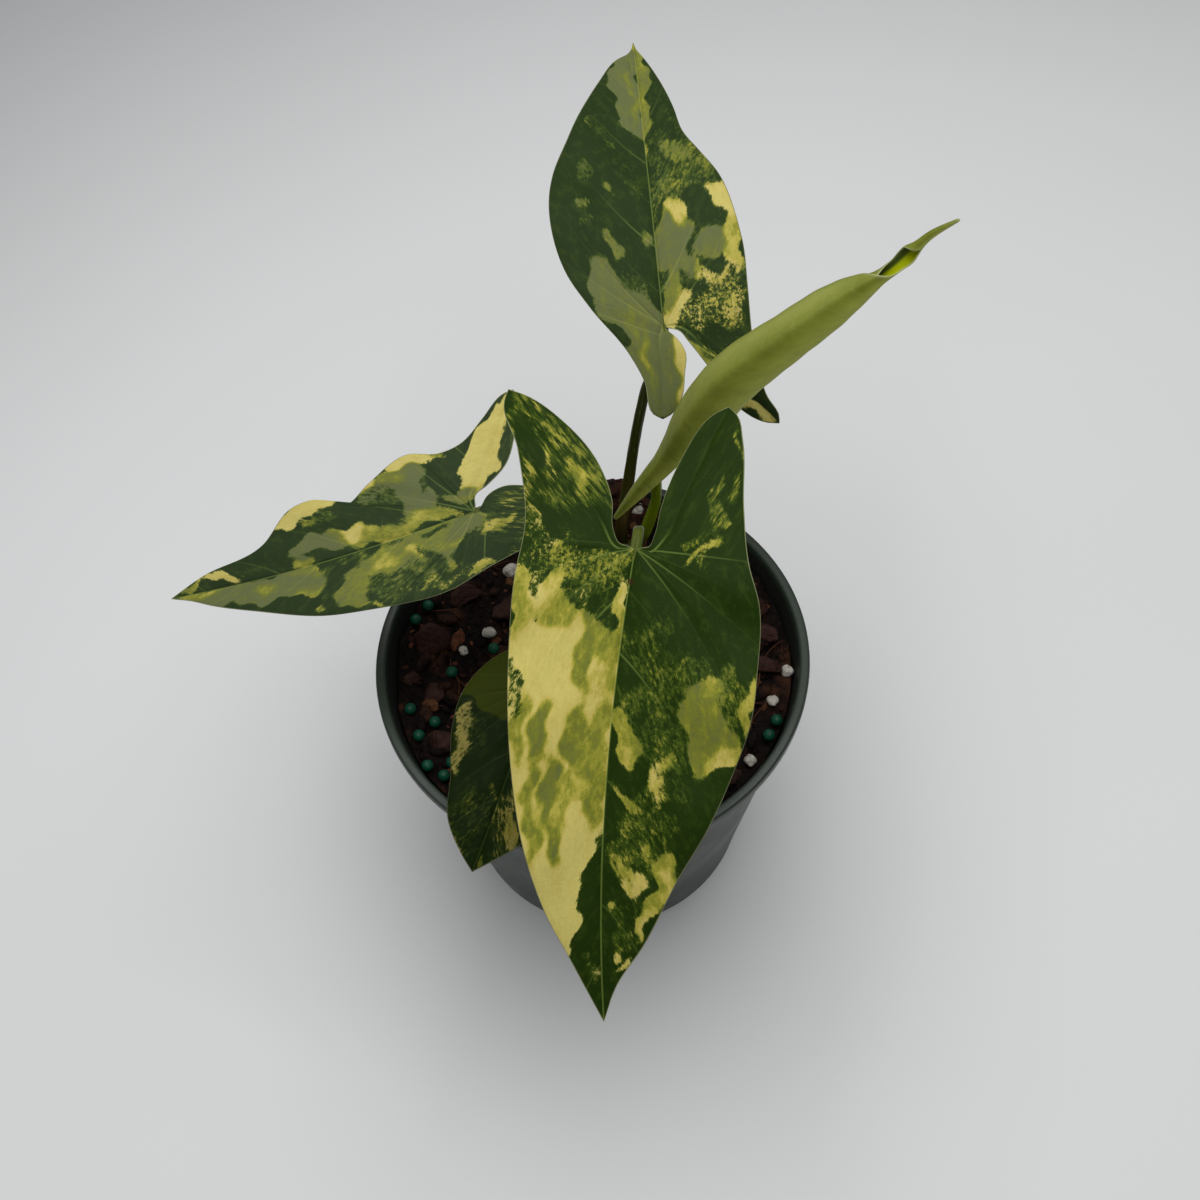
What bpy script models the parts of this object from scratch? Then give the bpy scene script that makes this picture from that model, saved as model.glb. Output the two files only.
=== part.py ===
"""Potted syngonium: a variegated arrowhead plant in a round plastic nursery pot.

Lengths below are in millimetres and are turned into metres where a mesh is made.
The origin is the centre of the pot's underside, +Z up. The largest leaf points to -Y.
"""

import math
import random

import bmesh
import bpy
import numpy as np
from mathutils import Vector
from mathutils.bvhtree import BVHTree

MM = 0.001
GAP = 0.3  # kept between pieces that touch
SEAM = 0.00002  # points nearer than this, in metres, are the same point

# Pot
POT_HEIGHT = 86.0
RIM_RADIUS = 55.0
RIM_OPENING = 52.2
BASE_RADIUS = 39.5
WALL = 0.95
FLOOR = 1.4
LIP_DROP = 3.2
POT_STEPS = 64
DRAIN_HOLES = 6
DRAIN_RADIUS = 4.2
DRAIN_CIRCLE = 27.0

# Potting mix
MIX_LEVEL = 79.0
HEAP = (11.0, 48.0, 8.0, 9.5)  # x, y, height and spread of the heap behind the plant
CROWN = (11.0, 29.0)
CROWN_TOP = 88.0
CROWN_RADIUS = 5.2
CROWN_CLEARANCE = 1.6  # foot of the stub above the mix at its middle, so that it clears the lumps

# Blades
BLADE_THICKNESS = 0.5
RINGS = 3  # bands of faces between a rib and the margin
RIB_STEPS = 5
MIDRIB_STEPS = 13

# Each blade lies on a bent sheet that follows its midrib. "run" holds the midrib's course:
# (distance from the joint, heading, climb, roll), in mm and degrees, negative distances
# reaching back under the lobes. Margins are (across, along) points on that sheet: "inner"
# runs from the notch at the joint to a lobe's tip, "outer" from there to the leaf's tip.
# "rib" is the point that the lobe's own rib passes on its way from the joint to the lobe's tip.
BLADES = {
    "front": {
        "joint": (11.0, -21.0, 160.0),
        "run": ((-45, -108, -10, 0), (0, -106, -22, 0), (55, -100, -37, 0), (100, -92, -47, 0)),
        "fold": 10.0, "curl": 0.35, "tip": (-1.5, 99.0), "ripple": 0.6,
        "sides": (
            {"inner": ((1.0, -0.7), (2.5, -1.2), (3.5, -3.6), (4.0, -9), (6.6, -20.5), (11.4, -30.6)),
             "rib": (7.0, -6.5), "lobe": (14.2, -32.8),
             "outer": ((16.2, -31.2), (18.6, -25), (21.0, -11), (23.8, 1), (26.9, 9), (28.0, 22),
                       (27.8, 32), (24.6, 45), (20.4, 56), (14.3, 68), (7.5, 82), (1.7, 91))},
            {"inner": ((-1.1, -0.6), (-2.8, -1.1), (-4.7, -3.9), (-6.2, -9), (-10.5, -16.5), (-19.5, -24.3),
                       (-29, -29.3)),
             "rib": (-9.5, -5.5), "lobe": (-32.9, -30.2),
             "outer": ((-33.2, -28.3), (-27.3, -16), (-23.4, -2), (-23.4, 9), (-23, 22), (-21.5, 36),
                       (-19.5, 51), (-16.5, 63.5), (-12.5, 75), (-8, 84), (-4, 93))},
        ),
    },
    "back": {
        "joint": (24.0, 43.0, 156.0),
        "run": ((-32, 92, 70, 0), (0, 91, 34, 0), (45, 90, 8, 0), (92, 89, -12, 0)),
        "fold": 8.0, "curl": 0.3, "tip": (-1.9, 86.5), "ripple": 0.5,
        "sides": (
            {"inner": ((-0.8, -1.0), (-2.7, -3.0), (-4.4, -6.4), (-3.7, -11.5), (-2.6, -16.6), (0.3, -20.4)),
             "rib": (1.0, -7.0), "lobe": (2.4, -21.2),
             "outer": ((4.5, -19.8), (5.9, -12), (8.8, -5.4), (16.6, 5.8), (20.9, 14), (23.3, 25),
                       (21.6, 40), (17.2, 50), (12.8, 60), (7.8, 70), (3.4, 78), (-0.9, 82.5))},
            {"inner": ((-1.1, -0.6), (-3.4, -1.5), (-5.3, -4.2), (-9, -10), (-15.5, -20.5), (-21.5, -24.6)),
             "rib": (-9.0, -5.0), "lobe": (-24.7, -25.3),
             "outer": ((-24.7, -23.4), (-22, -18), (-20.3, -8), (-20.2, 6), (-20.4, 18), (-17.3, 35),
                       (-13.5, 43), (-10.3, 50), (-9.2, 57), (-6.8, 68), (-3.6, 79), (-2.4, 82.5))},
        ),
    },
    "left": {
        "joint": (-24.0, 15.0, 130.0),
        "run": ((-30, 197, 0, -12), (0, 192, -8, -14), (40, 180, -17, -14), (82, 169, -22, -10)),
        "fold": 8.0, "curl": 0.3, "tip": (0.0, 82.0), "ripple": 0.8,
        "sides": (
            {"inner": ((-0.5, -1.6), (-2.5, -4.0), (-3.4, -8), (-1.6, -13.5), (5.0, -21)),
             "rib": (4.5, -7.5), "lobe": (12.0, -24.4),
             "outer": ((14.6, -20), (13.6, -8), (15.0, 0), (17.0, 9), (16.7, 20), (14.1, 38),
                       (8.2, 57), (4.6, 68), (1.6, 76))},
            {"inner": ((-1.1, -0.7), (-3.4, -1.4), (-5.0, -5.2), (-8.2, -11), (-14.5, -15.6), (-21.5, -18.2)),
             "rib": (-8.5, -4.5), "lobe": (-25.2, -19.4),
             "outer": ((-24.8, -16.5), (-21, -9.5), (-17.2, -2), (-16.6, 3.5), (-18.7, 11.5),
                       (-15.5, 23), (-12.0, 29.7), (-15.6, 38), (-15.2, 46), (-8.5, 54), (-4.0, 73))},
        ),
    },
    "low": {
        "joint": (-14.0, -17.0, 101.0),
        "run": ((-20, -107, -2, 0), (0, -111, -12, 0), (25, -115, -18, 0), (52, -120, -24, 0)),
        "fold": 8.0, "curl": 0.5, "tip": (-0.4, 46.0), "ripple": 0.4,
        "sides": (
            {"inner": ((1.0, -0.8), (3.5, -4.5)), "rib": (4.0, -2.8), "lobe": (8.5, -9.0),
             "outer": ((14.5, -2), (16.5, 8), (15.2, 20), (12, 30), (8, 37), (3.5, 42))},
            {"inner": ((-1.0, -0.8), (-3.5, -4.8)), "rib": (-4.0, -3.0), "lobe": (-8.0, -8.5),
             "outer": ((-13.3, -2.8), (-16.6, 5), (-16.5, 15), (-13.0, 27), (-10.4, 36), (-4.3, 43))},
        ),
    },
}

# The rolled leaf: points along its axis, and (share of the length, radius) of the roll.
ROLL_AXIS = ((9, 20, 115), (15.5, 20, 125.5), (22, 20.5, 135), (30, 21, 149), (37, 21.5, 160),
             (49.5, 23, 170.5), (61.5, 26, 177.5), (70, 27, 183), (78, 27, 192), (83, 27, 195.5))
ROLL_RADII = ((0, 0.4), (0.11, 1.8), (0.21, 2.8), (0.36, 5.8), (0.48, 6.1), (0.62, 5.3),
              (0.75, 3.2), (0.83, 1.6), (0.9, 1.8), (0.95, 0.9), (1, 0.3))
ROLL_STEPS = 28
ROLL_JOINT = 0.2  # share of the roll's length where its stalk meets it

# Stalks: points from the crown to the joint, then the radius at the crown and at the joint.
STALKS = {
    "front": (((11.3, 25.6, 0), (12.5, 12, 112), (12.3, -5, 142), (12.0, -13.5, 156.5)), 1.7, 1.0),
    "back": (((11.0, 32.2, 0), (13.6, 37, 105), (19, 39.5, 138)), 1.6, 1.1),
    "left": (((7.8, 29.6, 0), (2.5, 27.5, 103), (-9, 22.5, 119)), 1.5, 1.0),
    "low": (((8.6, 26.6, 0), (3.0, 16.5, 96), (-6.0, -1.5, 100.5)), 1.2, 0.8),
    "new": (((14.6, 28.6, 0), (17.2, 26.0, 99), (20.0, 25.2, 112)), 1.7, 1.2),
}

# Loose pieces on the mix: (x, y, size), the size being the largest width.
BARK = ((-41, 12, 14), (-39, -18, 11), (-21, 20, 11), (-32, 25, 9), (-46, 2, 7), (-41, -4, 8),
        (43, 13, 11), (45.5, 3.5, 8), (43, -5.5, 9), (38, -13.5, 8), (30, -35, 8), (10, -44, 8))
PERLITE = ((-19, 31, 4.6), (-26, 12, 3.6), (-33, 8, 2.8), (-33, -6, 3), (-36, -34, 3.2),
           (49, -8, 3.4), (44, -16, 3), (36, -32, 3.2), (16, 43, 4.2))
PRILLS = ((-45, 18.5), (-41.5, 22), (-25, 7), (-36, 1), (-47, -8), (-45, -16), (-41, -12),
          (-43, -25), (-39, -28), (-37, -24.5), (44, -22), (41.5, -26))
PRILL_RADIUS = 1.7


def material(name, colour, roughness, metallic=0.0):
    """A Principled BSDF with one colour (linear RGB)."""
    made = bpy.data.materials.new(name)
    made.use_nodes = True
    shader = made.node_tree.nodes["Principled BSDF"]
    shader.inputs["Base Color"].default_value = (*colour, 1.0)
    shader.inputs["Roughness"].default_value = roughness
    shader.inputs["Metallic"].default_value = metallic
    made.diffuse_color = (*colour, 1.0)
    return made


def place(name, mesh, paint, group):
    """A new object for a mesh, with its material and smooth shading."""
    made = bpy.data.objects.new(name, mesh)
    mesh.materials.append(paint)
    mesh.shade_smooth()
    mesh.set_sharp_from_angle(angle=math.radians(40))
    group.objects.link(made)
    return made


def new_group(name, hidden=False):
    """A collection; helpers go in a hidden one."""
    made = bpy.data.collections.new(name)
    made.hide_render = hidden
    bpy.context.scene.collection.children.link(made)
    return made


def inner_radius(z):
    """Radius of the pot's inside at height z."""
    bottom = BASE_RADIUS - WALL - 0.2
    return bottom + (RIM_OPENING - bottom) * (z - FLOOR) / (POT_HEIGHT - FLOOR)


def pot_profile():
    """Half section of the pot from the inside of its floor, over the lip, to its underside."""
    top = POT_HEIGHT
    inside = [(0, FLOOR), (inner_radius(FLOOR) - 1.2, FLOOR), (inner_radius(FLOOR + 1.2), FLOOR + 1.2)]
    lip = [(RIM_OPENING - 0.1, top - 0.9), (RIM_OPENING + 0.3, top - 0.2), (RIM_OPENING + 0.9, top),
           (RIM_RADIUS - 0.9, top), (RIM_RADIUS - 0.25, top - 0.25), (RIM_RADIUS, top - 0.9)]
    under = top - LIP_DROP
    lip += [(RIM_RADIUS - 0.05, under + 0.6), (RIM_RADIUS - 0.5, under),
            (inner_radius(under) + WALL + 0.3, under), (inner_radius(under - 0.6) + WALL, under - 0.6)]
    outside = [(inner_radius(1.0) + WALL, 1.0), (BASE_RADIUS - 0.8, 0), (0, 0)]
    return inside + lip + outside


def make_pot(group, helpers):
    """The pot, turned from its half section, with drain holes cut round its floor."""
    points = pot_profile()
    mesh = bpy.data.meshes.new("pot")
    mesh.from_pydata([(r * MM, 0, z * MM) for r, z in points], [(i, i + 1) for i in range(len(points) - 1)], [])
    pot = bpy.data.objects.new("pot", mesh)
    group.objects.link(pot)
    mesh.materials.append(material("green plastic", (0.035, 0.045, 0.035), 0.45))
    turn = pot.modifiers.new("turn", "SCREW")
    turn.steps = POT_STEPS
    turn.render_steps = POT_STEPS
    turn.use_merge_vertices = True
    turn.merge_threshold = 0.0001
    turn.use_smooth_shade = True
    for i in range(DRAIN_HOLES):
        angle = 2 * math.pi * (i + 0.5) / DRAIN_HOLES
        drill(pot, helpers, DRAIN_CIRCLE * math.cos(angle), DRAIN_CIRCLE * math.sin(angle), f"drain_{i + 1}")
    return pot


def drill(pot, helpers, x, y, name):
    """Cuts one round drain hole through the pot's floor."""
    mesh = bpy.data.meshes.new(name)
    shape = bmesh.new()
    bmesh.ops.create_cone(shape, cap_ends=True, segments=16, radius1=DRAIN_RADIUS * MM,
                          radius2=DRAIN_RADIUS * MM, depth=8 * MM)
    shape.to_mesh(mesh)
    shape.free()
    cutter = bpy.data.objects.new(name, mesh)
    cutter.location = (x * MM, y * MM, 0)
    cutter.hide_render = True
    cutter.display_type = "WIRE"
    helpers.objects.link(cutter)
    cut = pot.modifiers.new(name, "BOOLEAN")
    cut.operation = "DIFFERENCE"
    cut.object = cutter


def mix_height(x, y):
    """Height of the mix: a nearly level top with lumps, heaped behind the plant."""
    lumps = 0.9 * math.sin(0.31 * x + 1.1) * math.cos(0.27 * y) + 0.6 * math.sin(0.63 * x - 0.41 * y)
    hx, hy, rise, spread = HEAP
    away = ((x - hx) ** 2 + (y - hy) ** 2) / (2 * spread**2)
    return MIX_LEVEL + lumps + rise * math.exp(-away)


def make_mix(group):
    """The block of potting mix: a turned solid whose top follows mix_height."""
    rings = [0, 6, 12, 18, 24, 30, 36, 42, 47]
    foot = FLOOR + GAP
    shape = bmesh.new()
    outline = [(r, MIX_LEVEL) for r in rings]
    outline += [(inner_radius(MIX_LEVEL) - GAP, MIX_LEVEL), (inner_radius(40) - GAP, 40)]
    outline += [(inner_radius(foot + 1.5) - GAP, foot + 1.5), (inner_radius(foot) - 2.5, foot), (0, foot)]
    verts = [shape.verts.new((r * MM, 0, z * MM)) for r, z in outline]
    edges = [shape.edges.new(pair) for pair in zip(verts, verts[1:])]
    bmesh.ops.spin(shape, geom=verts + edges, axis=(0, 0, 1), cent=(0, 0, 0),
                   angle=2 * math.pi, steps=48, use_merge=True)
    bmesh.ops.remove_doubles(shape, verts=shape.verts, dist=SEAM)
    for vert in shape.verts:
        if vert.co.z < 0.9 * MIX_LEVEL * MM:
            continue
        height = mix_height(vert.co.x / MM, vert.co.y / MM)
        out = math.hypot(vert.co.x, vert.co.y)
        if out > 50 * MM:
            fit = (inner_radius(height) - GAP) * MM / out
            vert.co.x *= fit
            vert.co.y *= fit
        vert.co.z = height * MM
    bmesh.ops.recalc_face_normals(shape, faces=shape.faces)
    mesh = bpy.data.meshes.new("potting_mix")
    shape.to_mesh(mesh)
    shape.free()
    return place("potting_mix", mesh, material("bark and coir mix", (0.02, 0.011, 0.007), 0.95), group)


def make_crown(group):
    """The short stem: a round stub with a domed top, fluted a little by the stalks' sheaths."""
    shape = bmesh.new()
    bmesh.ops.create_uvsphere(shape, u_segments=20, v_segments=10, radius=1.0)
    foot = mix_height(*CROWN) + CROWN_CLEARANCE
    for vert in shape.verts:
        level = (vert.co.z + 1) / 2
        around = math.atan2(vert.co.y, vert.co.x)
        flutes = 1 + 0.12 * math.sin(3 * around + 4 * level)
        # The power squares the ball off into a stub: its sides stand nearly upright.
        spread = CROWN_RADIUS * flutes * vert.co.xy.length**0.35
        vert.co.x = (CROWN[0] + spread * math.cos(around)) * MM
        vert.co.y = (CROWN[1] + spread * math.sin(around)) * MM
        vert.co.z = (foot + (CROWN_TOP - foot) * level) * MM
    mesh = bpy.data.meshes.new("crown")
    shape.to_mesh(mesh)
    shape.free()
    return place("crown", mesh, material("crown", (0.06, 0.075, 0.02), 0.5), group)


def station(run, column, along):
    """A value of the midrib's course at a distance: the polynomial through its stations."""
    places = np.array([row[0] for row in run], float)
    values = np.array([row[column] for row in run], float)
    curve = np.polyfit(places, values, len(run) - 1)
    return np.polyval(curve, np.clip(along, places[0], places[-1]))


def blade_frame(blade, along):
    """Point, side and upward direction of the bent sheet at distances along the midrib."""
    step = 0.5
    fine = np.arange(-60, blade["tip"][1] + 20, step)
    heading, climb, roll = (np.radians(station(blade["run"], column, fine)) for column in (1, 2, 3))
    ahead = np.stack([np.cos(climb) * np.cos(heading), np.cos(climb) * np.sin(heading), np.sin(climb)], 1)
    level = np.stack([-np.sin(heading), np.cos(heading), 0 * heading], 1)
    upright = np.cross(ahead, level)
    side = level * np.cos(roll)[:, None] + upright * np.sin(roll)[:, None]
    up = upright * np.cos(roll)[:, None] - level * np.sin(roll)[:, None]
    line = np.cumsum(ahead * step, 0)
    line += np.array(blade["joint"]) - line[np.argmin(abs(fine))]

    def read(values):
        return np.stack([np.interp(along, fine, values[:, i]) for i in range(3)], -1)

    return read(line), read(side), read(up)


def on_sheet(blade, across, along):
    """Flat leaf coordinates to space: the sheet folds up at the midrib and curls down outward."""
    line, side, up = blade_frame(blade, along)
    fold = math.radians(blade["fold"])
    curl = math.radians(blade["curl"])
    away = np.abs(across)
    out = (math.sin(fold) - np.sin(fold - curl * away)) / curl
    rise = (np.cos(fold - curl * away) - math.cos(fold)) / curl
    rise += blade["ripple"] * (away / 20) ** 2 * np.sin(0.24 * along + np.sign(across))
    return line + side * (np.sign(across) * out)[..., None] + up * rise[..., None]


def spline(points, count):
    """Evenly spaced points on the smooth curve through a few given ones."""
    given = np.array(points, float)
    steps = np.linalg.norm(np.diff(given, axis=0), axis=1)
    knots = np.concatenate([[0], np.cumsum(steps)])
    slopes = np.gradient(given, knots, axis=0)
    fine = np.linspace(0, knots[-1], 400)
    cell = np.clip(np.searchsorted(knots, fine, "right") - 1, 0, len(steps) - 1)
    width = steps[cell][:, None]
    share = ((fine - knots[cell]) / steps[cell])[:, None]
    a, b = given[cell], given[cell + 1]
    p, q = slopes[cell] * width, slopes[cell + 1] * width
    curve = (a * (1 + 2 * share) * (1 - share) ** 2 + p * share * (1 - share) ** 2
             + b * share**2 * (3 - 2 * share) + q * share**2 * (share - 1))
    length = np.concatenate([[0], np.cumsum(np.linalg.norm(np.diff(curve, axis=0), axis=1))])
    wanted = np.linspace(0, length[-1], count)
    return np.stack([np.interp(wanted, length, curve[:, i]) for i in range(curve.shape[1])], 1)


def half_blade(blade, side):
    """Two bands of one half blade, each as (points on the ribs, points on the margin)."""
    rib = spline([(0, 0), side["rib"], side["lobe"]], RIB_STEPS + 1)
    midrib = np.outer(np.linspace(0, 1, MIDRIB_STEPS + 1), blade["tip"])
    inner = spline([*side["inner"], side["lobe"]], RIB_STEPS + 1)
    outer = spline([side["lobe"], *side["outer"], blade["tip"]], RIB_STEPS + MIDRIB_STEPS + 1)
    spine = np.concatenate([rib[::-1], midrib[1:]])
    return (rib, inner), (spine, outer)


def add_band(shape, blade, ribs, margin):
    """Adds one band of faces from the ribs to the margin."""
    share = np.linspace(0, 1, RINGS + 1)[:, None, None]
    flat = ribs * (1 - share) + margin * share
    points = on_sheet(blade, flat[..., 0], flat[..., 1]) * MM
    rows = [[shape.verts.new(point) for point in row] for row in points]
    for low, high in zip(rows, rows[1:]):
        for i in range(len(low) - 1):
            shape.faces.new((low[i], low[i + 1], high[i + 1], high[i]))


def make_blade(name, blade, paint, group):
    """One leaf blade: bands of faces between ribs and margin, thickened by Solidify."""
    shape = bmesh.new()
    for side in blade["sides"]:
        for ribs, margin in half_blade(blade, side):
            add_band(shape, blade, ribs, margin)
    bmesh.ops.remove_doubles(shape, verts=shape.verts, dist=SEAM)
    bmesh.ops.recalc_face_normals(shape, faces=shape.faces)
    mesh = bpy.data.meshes.new(f"blade_{name}")
    shape.to_mesh(mesh)
    shape.free()
    made = place(f"blade_{name}", mesh, paint, group)
    shell = made.modifiers.new("thickness", "SOLIDIFY")
    shell.thickness = BLADE_THICKNESS * MM
    shell.offset = 0
    return made


def roll_line():
    """Points along the rolled leaf's axis, and its radius at each."""
    share, radii = np.array(ROLL_RADII).T
    return spline(ROLL_AXIS, ROLL_STEPS + 1), np.interp(np.linspace(0, 1, ROLL_STEPS + 1), share, radii)


def make_roll(paint, group):
    """The young leaf, still rolled: a spindle with closed ends along a bent axis."""
    axis, radius = roll_line()
    return make_tube("blade_new", axis, radius, 3, paint, group)


def make_tube(name, points, radii, resolution, paint, group):
    """A round tube along points, with its radius at each point and closed ends."""
    curve = bpy.data.curves.new(name, "CURVE")
    curve.dimensions = "3D"
    curve.bevel_depth = MM
    curve.bevel_resolution = resolution
    curve.use_fill_caps = True
    line = curve.splines.new("POLY")
    line.points.add(len(points) - 1)
    for spot, point, radius in zip(line.points, points, radii):
        spot.co = (*(np.array(point) * MM), 1)
        spot.radius = radius
    curve.materials.append(paint)
    made = bpy.data.objects.new(name, curve)
    group.objects.link(made)
    return made


def roll_joint(thin):
    """Where the young leaf's stalk ends: along the far side of the roll, clear of it."""
    axis, radius = roll_line()
    spot = round(ROLL_JOINT * ROLL_STEPS)
    ahead = axis[spot + 1] - axis[spot]
    ahead /= np.linalg.norm(ahead)
    away = np.array((0.0, 1.0, 0.0)) - ahead * ahead[1]
    return axis[spot] + away / np.linalg.norm(away) * (radius[spot] + GAP + 0.1 + thin)


def stalk_end(name, radius, last):
    """Where a stalk stops: just under its blade's joint, clear of the underside."""
    if name == "new":
        return roll_joint(radius)
    blade = BLADES[name]
    line, _, up = blade_frame(blade, np.array([0.0]))
    toward = line[0] - np.array(last)
    toward /= np.linalg.norm(toward)
    lean = math.sqrt(max(0.0, 1 - float(toward @ up[0]) ** 2))
    return line[0] - up[0] * (BLADE_THICKNESS / 2 + GAP + 0.1 + radius * lean)


def make_stalk(name, paint, group):
    """A leaf stalk from the crown to its blade, swollen where it sheathes the crown."""
    points, thick, thin = STALKS[name]
    foot = CROWN_TOP + GAP
    start = [(points[0][0], points[0][1], foot + up) for up in (0, 2.5)]
    route = [*start, *points[1:], tuple(stalk_end(name, thin, points[-1]))]
    line = spline(route, 15)
    share = np.linspace(0, 1, len(line))
    radii = thin + (thick - thin) * (1 - share) ** 1.5
    return make_tube(f"petiole_{name}", line, radii, 2, paint, group)


def rest_on(shape, ground, x, y):
    """Moves a shape over (x, y) and down until it is GAP above the ground."""
    for vert in shape.verts:
        vert.co += Vector((x, y, 150)) * MM
    falls = []
    for vert in shape.verts:
        hit, _, _, fall = ground.ray_cast(vert.co, Vector((0, 0, -1)))
        if hit:
            falls.append(fall)
    drop = min(falls) - GAP * MM
    for vert in shape.verts:
        vert.co.z -= drop


def make_lump(name, x, y, size, dice, ground, paint, group):
    """A rough lump: a round ball of faces pushed in and out; size is its widths in mm."""
    shape = bmesh.new()
    bmesh.ops.create_icosphere(shape, subdivisions=2, radius=0.5)
    turn = dice.uniform(0, math.pi)
    for vert in shape.verts:
        bump = dice.uniform(0.84, 1.1)
        wide = vert.co.x * size[0] * bump
        deep = vert.co.y * size[1] * bump
        vert.co.z *= size[2] * bump * MM
        vert.co.x = (wide * math.cos(turn) - deep * math.sin(turn)) * MM
        vert.co.y = (wide * math.sin(turn) + deep * math.cos(turn)) * MM
    rest_on(shape, ground, x, y)
    mesh = bpy.data.meshes.new(name)
    shape.to_mesh(mesh)
    shape.free()
    return place(name, mesh, paint, group)


def make_prill(name, x, y, ground, paint, group):
    """One round bead of slow-release fertiliser."""
    shape = bmesh.new()
    bmesh.ops.create_uvsphere(shape, u_segments=12, v_segments=8, radius=PRILL_RADIUS * MM)
    rest_on(shape, ground, x, y)
    mesh = bpy.data.meshes.new(name)
    shape.to_mesh(mesh)
    shape.free()
    return place(name, mesh, paint, group)


def surface_of(made):
    """A search tree over an object's mesh, for resting pieces on it."""
    return BVHTree.FromObject(made, bpy.context.evaluated_depsgraph_get())


def make_loose_pieces(ground, group):
    """Bark chips, perlite grains and fertiliser beads lying on the mix."""
    dice = random.Random(11)
    bark = material("bark", (0.06, 0.028, 0.02), 0.85)
    perlite = material("perlite", (0.62, 0.6, 0.57), 0.9)
    bead = material("fertiliser bead", (0.0, 0.12, 0.075), 0.35)
    for i, (x, y, width) in enumerate(BARK):
        size = (width, width * dice.uniform(0.55, 0.8), width * 0.3)
        make_lump(f"bark_{i + 1:02d}", x, y, size, dice, ground, bark, group)
    for i, (x, y, width) in enumerate(PERLITE):
        size = (width, width * 0.85, width * 0.75)
        make_lump(f"perlite_{i + 1:02d}", x, y, size, dice, ground, perlite, group)
    for i, (x, y) in enumerate(PRILLS):
        make_prill(f"prill_{i + 1:02d}", x, y, ground, bead, group)


def make_leaves(group):
    """The five leaves, each a blade and a stalk."""
    green = material("leaf", (0.05, 0.11, 0.03), 0.4)
    lime = material("young leaf", (0.3, 0.36, 0.07), 0.45)
    stalk = material("stalk", (0.06, 0.09, 0.03), 0.4)
    for name, blade in BLADES.items():
        make_blade(name, blade, green, group)
    make_roll(lime, group)
    for name in STALKS:
        make_stalk(name, stalk, group)


def main():
    for old in list(bpy.data.objects):
        bpy.data.objects.remove(old)
    group = new_group("potted_syngonium")
    helpers = new_group("cutters", hidden=True)
    make_pot(group, helpers)
    mix = make_mix(group)
    bpy.context.view_layer.update()
    make_crown(group)
    make_leaves(group)
    make_loose_pieces(surface_of(mix), group)


main()
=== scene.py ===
# %% [markdown]
# # A potted syngonium
# A small variegated arrowhead plant in a round nursery pot. The solid parts (pot, mix, stalks,
# simple blades) are already made and are loaded as a fixed frame. Each step below gives one of
# them its real surface. Lengths are in millimetres until a mesh is made. The pot stands on the
# floor with the centre of its underside at the origin, +Z is up, and the largest leaf points
# to -Y.

# %% Load the solid parts
import math

import bpy
import numpy as np
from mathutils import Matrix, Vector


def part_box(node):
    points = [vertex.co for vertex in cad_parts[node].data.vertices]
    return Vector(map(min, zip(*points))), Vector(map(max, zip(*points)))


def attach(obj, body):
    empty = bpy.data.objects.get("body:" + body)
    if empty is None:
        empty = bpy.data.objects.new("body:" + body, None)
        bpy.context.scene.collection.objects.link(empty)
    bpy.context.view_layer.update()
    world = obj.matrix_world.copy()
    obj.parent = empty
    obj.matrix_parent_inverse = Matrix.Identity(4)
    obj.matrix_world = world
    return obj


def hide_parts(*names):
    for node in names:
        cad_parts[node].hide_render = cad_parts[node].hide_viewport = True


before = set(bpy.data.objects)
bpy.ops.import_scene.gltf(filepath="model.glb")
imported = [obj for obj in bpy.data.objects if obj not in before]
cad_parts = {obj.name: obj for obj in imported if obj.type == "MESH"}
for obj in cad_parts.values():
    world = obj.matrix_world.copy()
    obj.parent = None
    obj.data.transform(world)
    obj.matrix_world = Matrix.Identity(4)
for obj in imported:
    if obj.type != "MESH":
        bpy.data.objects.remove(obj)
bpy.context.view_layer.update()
MM = 0.001

# %% [markdown]
# ## Colours and shader nodes
# Colours are written as they look on a screen and turned into linear light once, here. Shader
# trees are built in code, so one short helper adds a node, sets its values and links its inputs.
# It keeps each material down to a few lines that can be read like a recipe.


# %% Colour
def tone(red, green, blue):
    """A colour as it looks on a screen, 0 to 255, as linear RGBA. Above a short straight foot
    a channel is raised to the power 2.4, which is how screen colours are defined."""
    shown = np.array([red, green, blue]) / 255
    linear = np.where(shown > 0.04045, ((shown + 0.055) / 1.055) ** 2.4, shown / 12.92)
    return (*linear.tolist(), 1.0)


print("half of full brightness on a screen is", round(tone(128, 128, 128)[0], 3), "in linear light")


# %% Shader nodes
def node(tree, kind, values=None, **settings):
    """Adds a shader node. settings are its properties; values are its inputs by name or
    number, each a plain value or another node's output to link."""
    made = tree.nodes.new(kind)
    for name, setting in settings.items():
        setattr(made, name, setting)
    for name, value in (values or {}).items():
        if isinstance(value, bpy.types.NodeSocket):
            tree.links.new(value, made.inputs[name])
        else:
            made.inputs[name].default_value = value
    return made


def maths(tree, operation, a, b=0.0, clamp=False):
    """One arithmetic step between two values or outputs."""
    return node(tree, "ShaderNodeMath", {0: a, 1: b}, operation=operation, use_clamp=clamp).outputs[0]


def ramp(tree, value, low, high, to_low=0.0, to_high=1.0):
    """A smooth step: to_low below low, to_high above high, an S-shaped rise between."""
    made = node(tree, "ShaderNodeMapRange", {"Value": value, "From Min": low, "From Max": high,
                                             "To Min": to_low, "To Max": to_high},
                interpolation_type="SMOOTHSTEP")
    return made.outputs["Result"]


def mix(tree, share, first, second):
    """Two colours, blended by share."""
    made = node(tree, "ShaderNodeMix", {0: share, 6: first, 7: second}, data_type="RGBA")
    return made.outputs[2]


def tint(tree, colour, over, mask, strength):
    """A colour with another laid over it where a mask is 1, as strongly as strength says."""
    return mix(tree, maths(tree, "MULTIPLY", mask, strength), colour, over)


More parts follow.
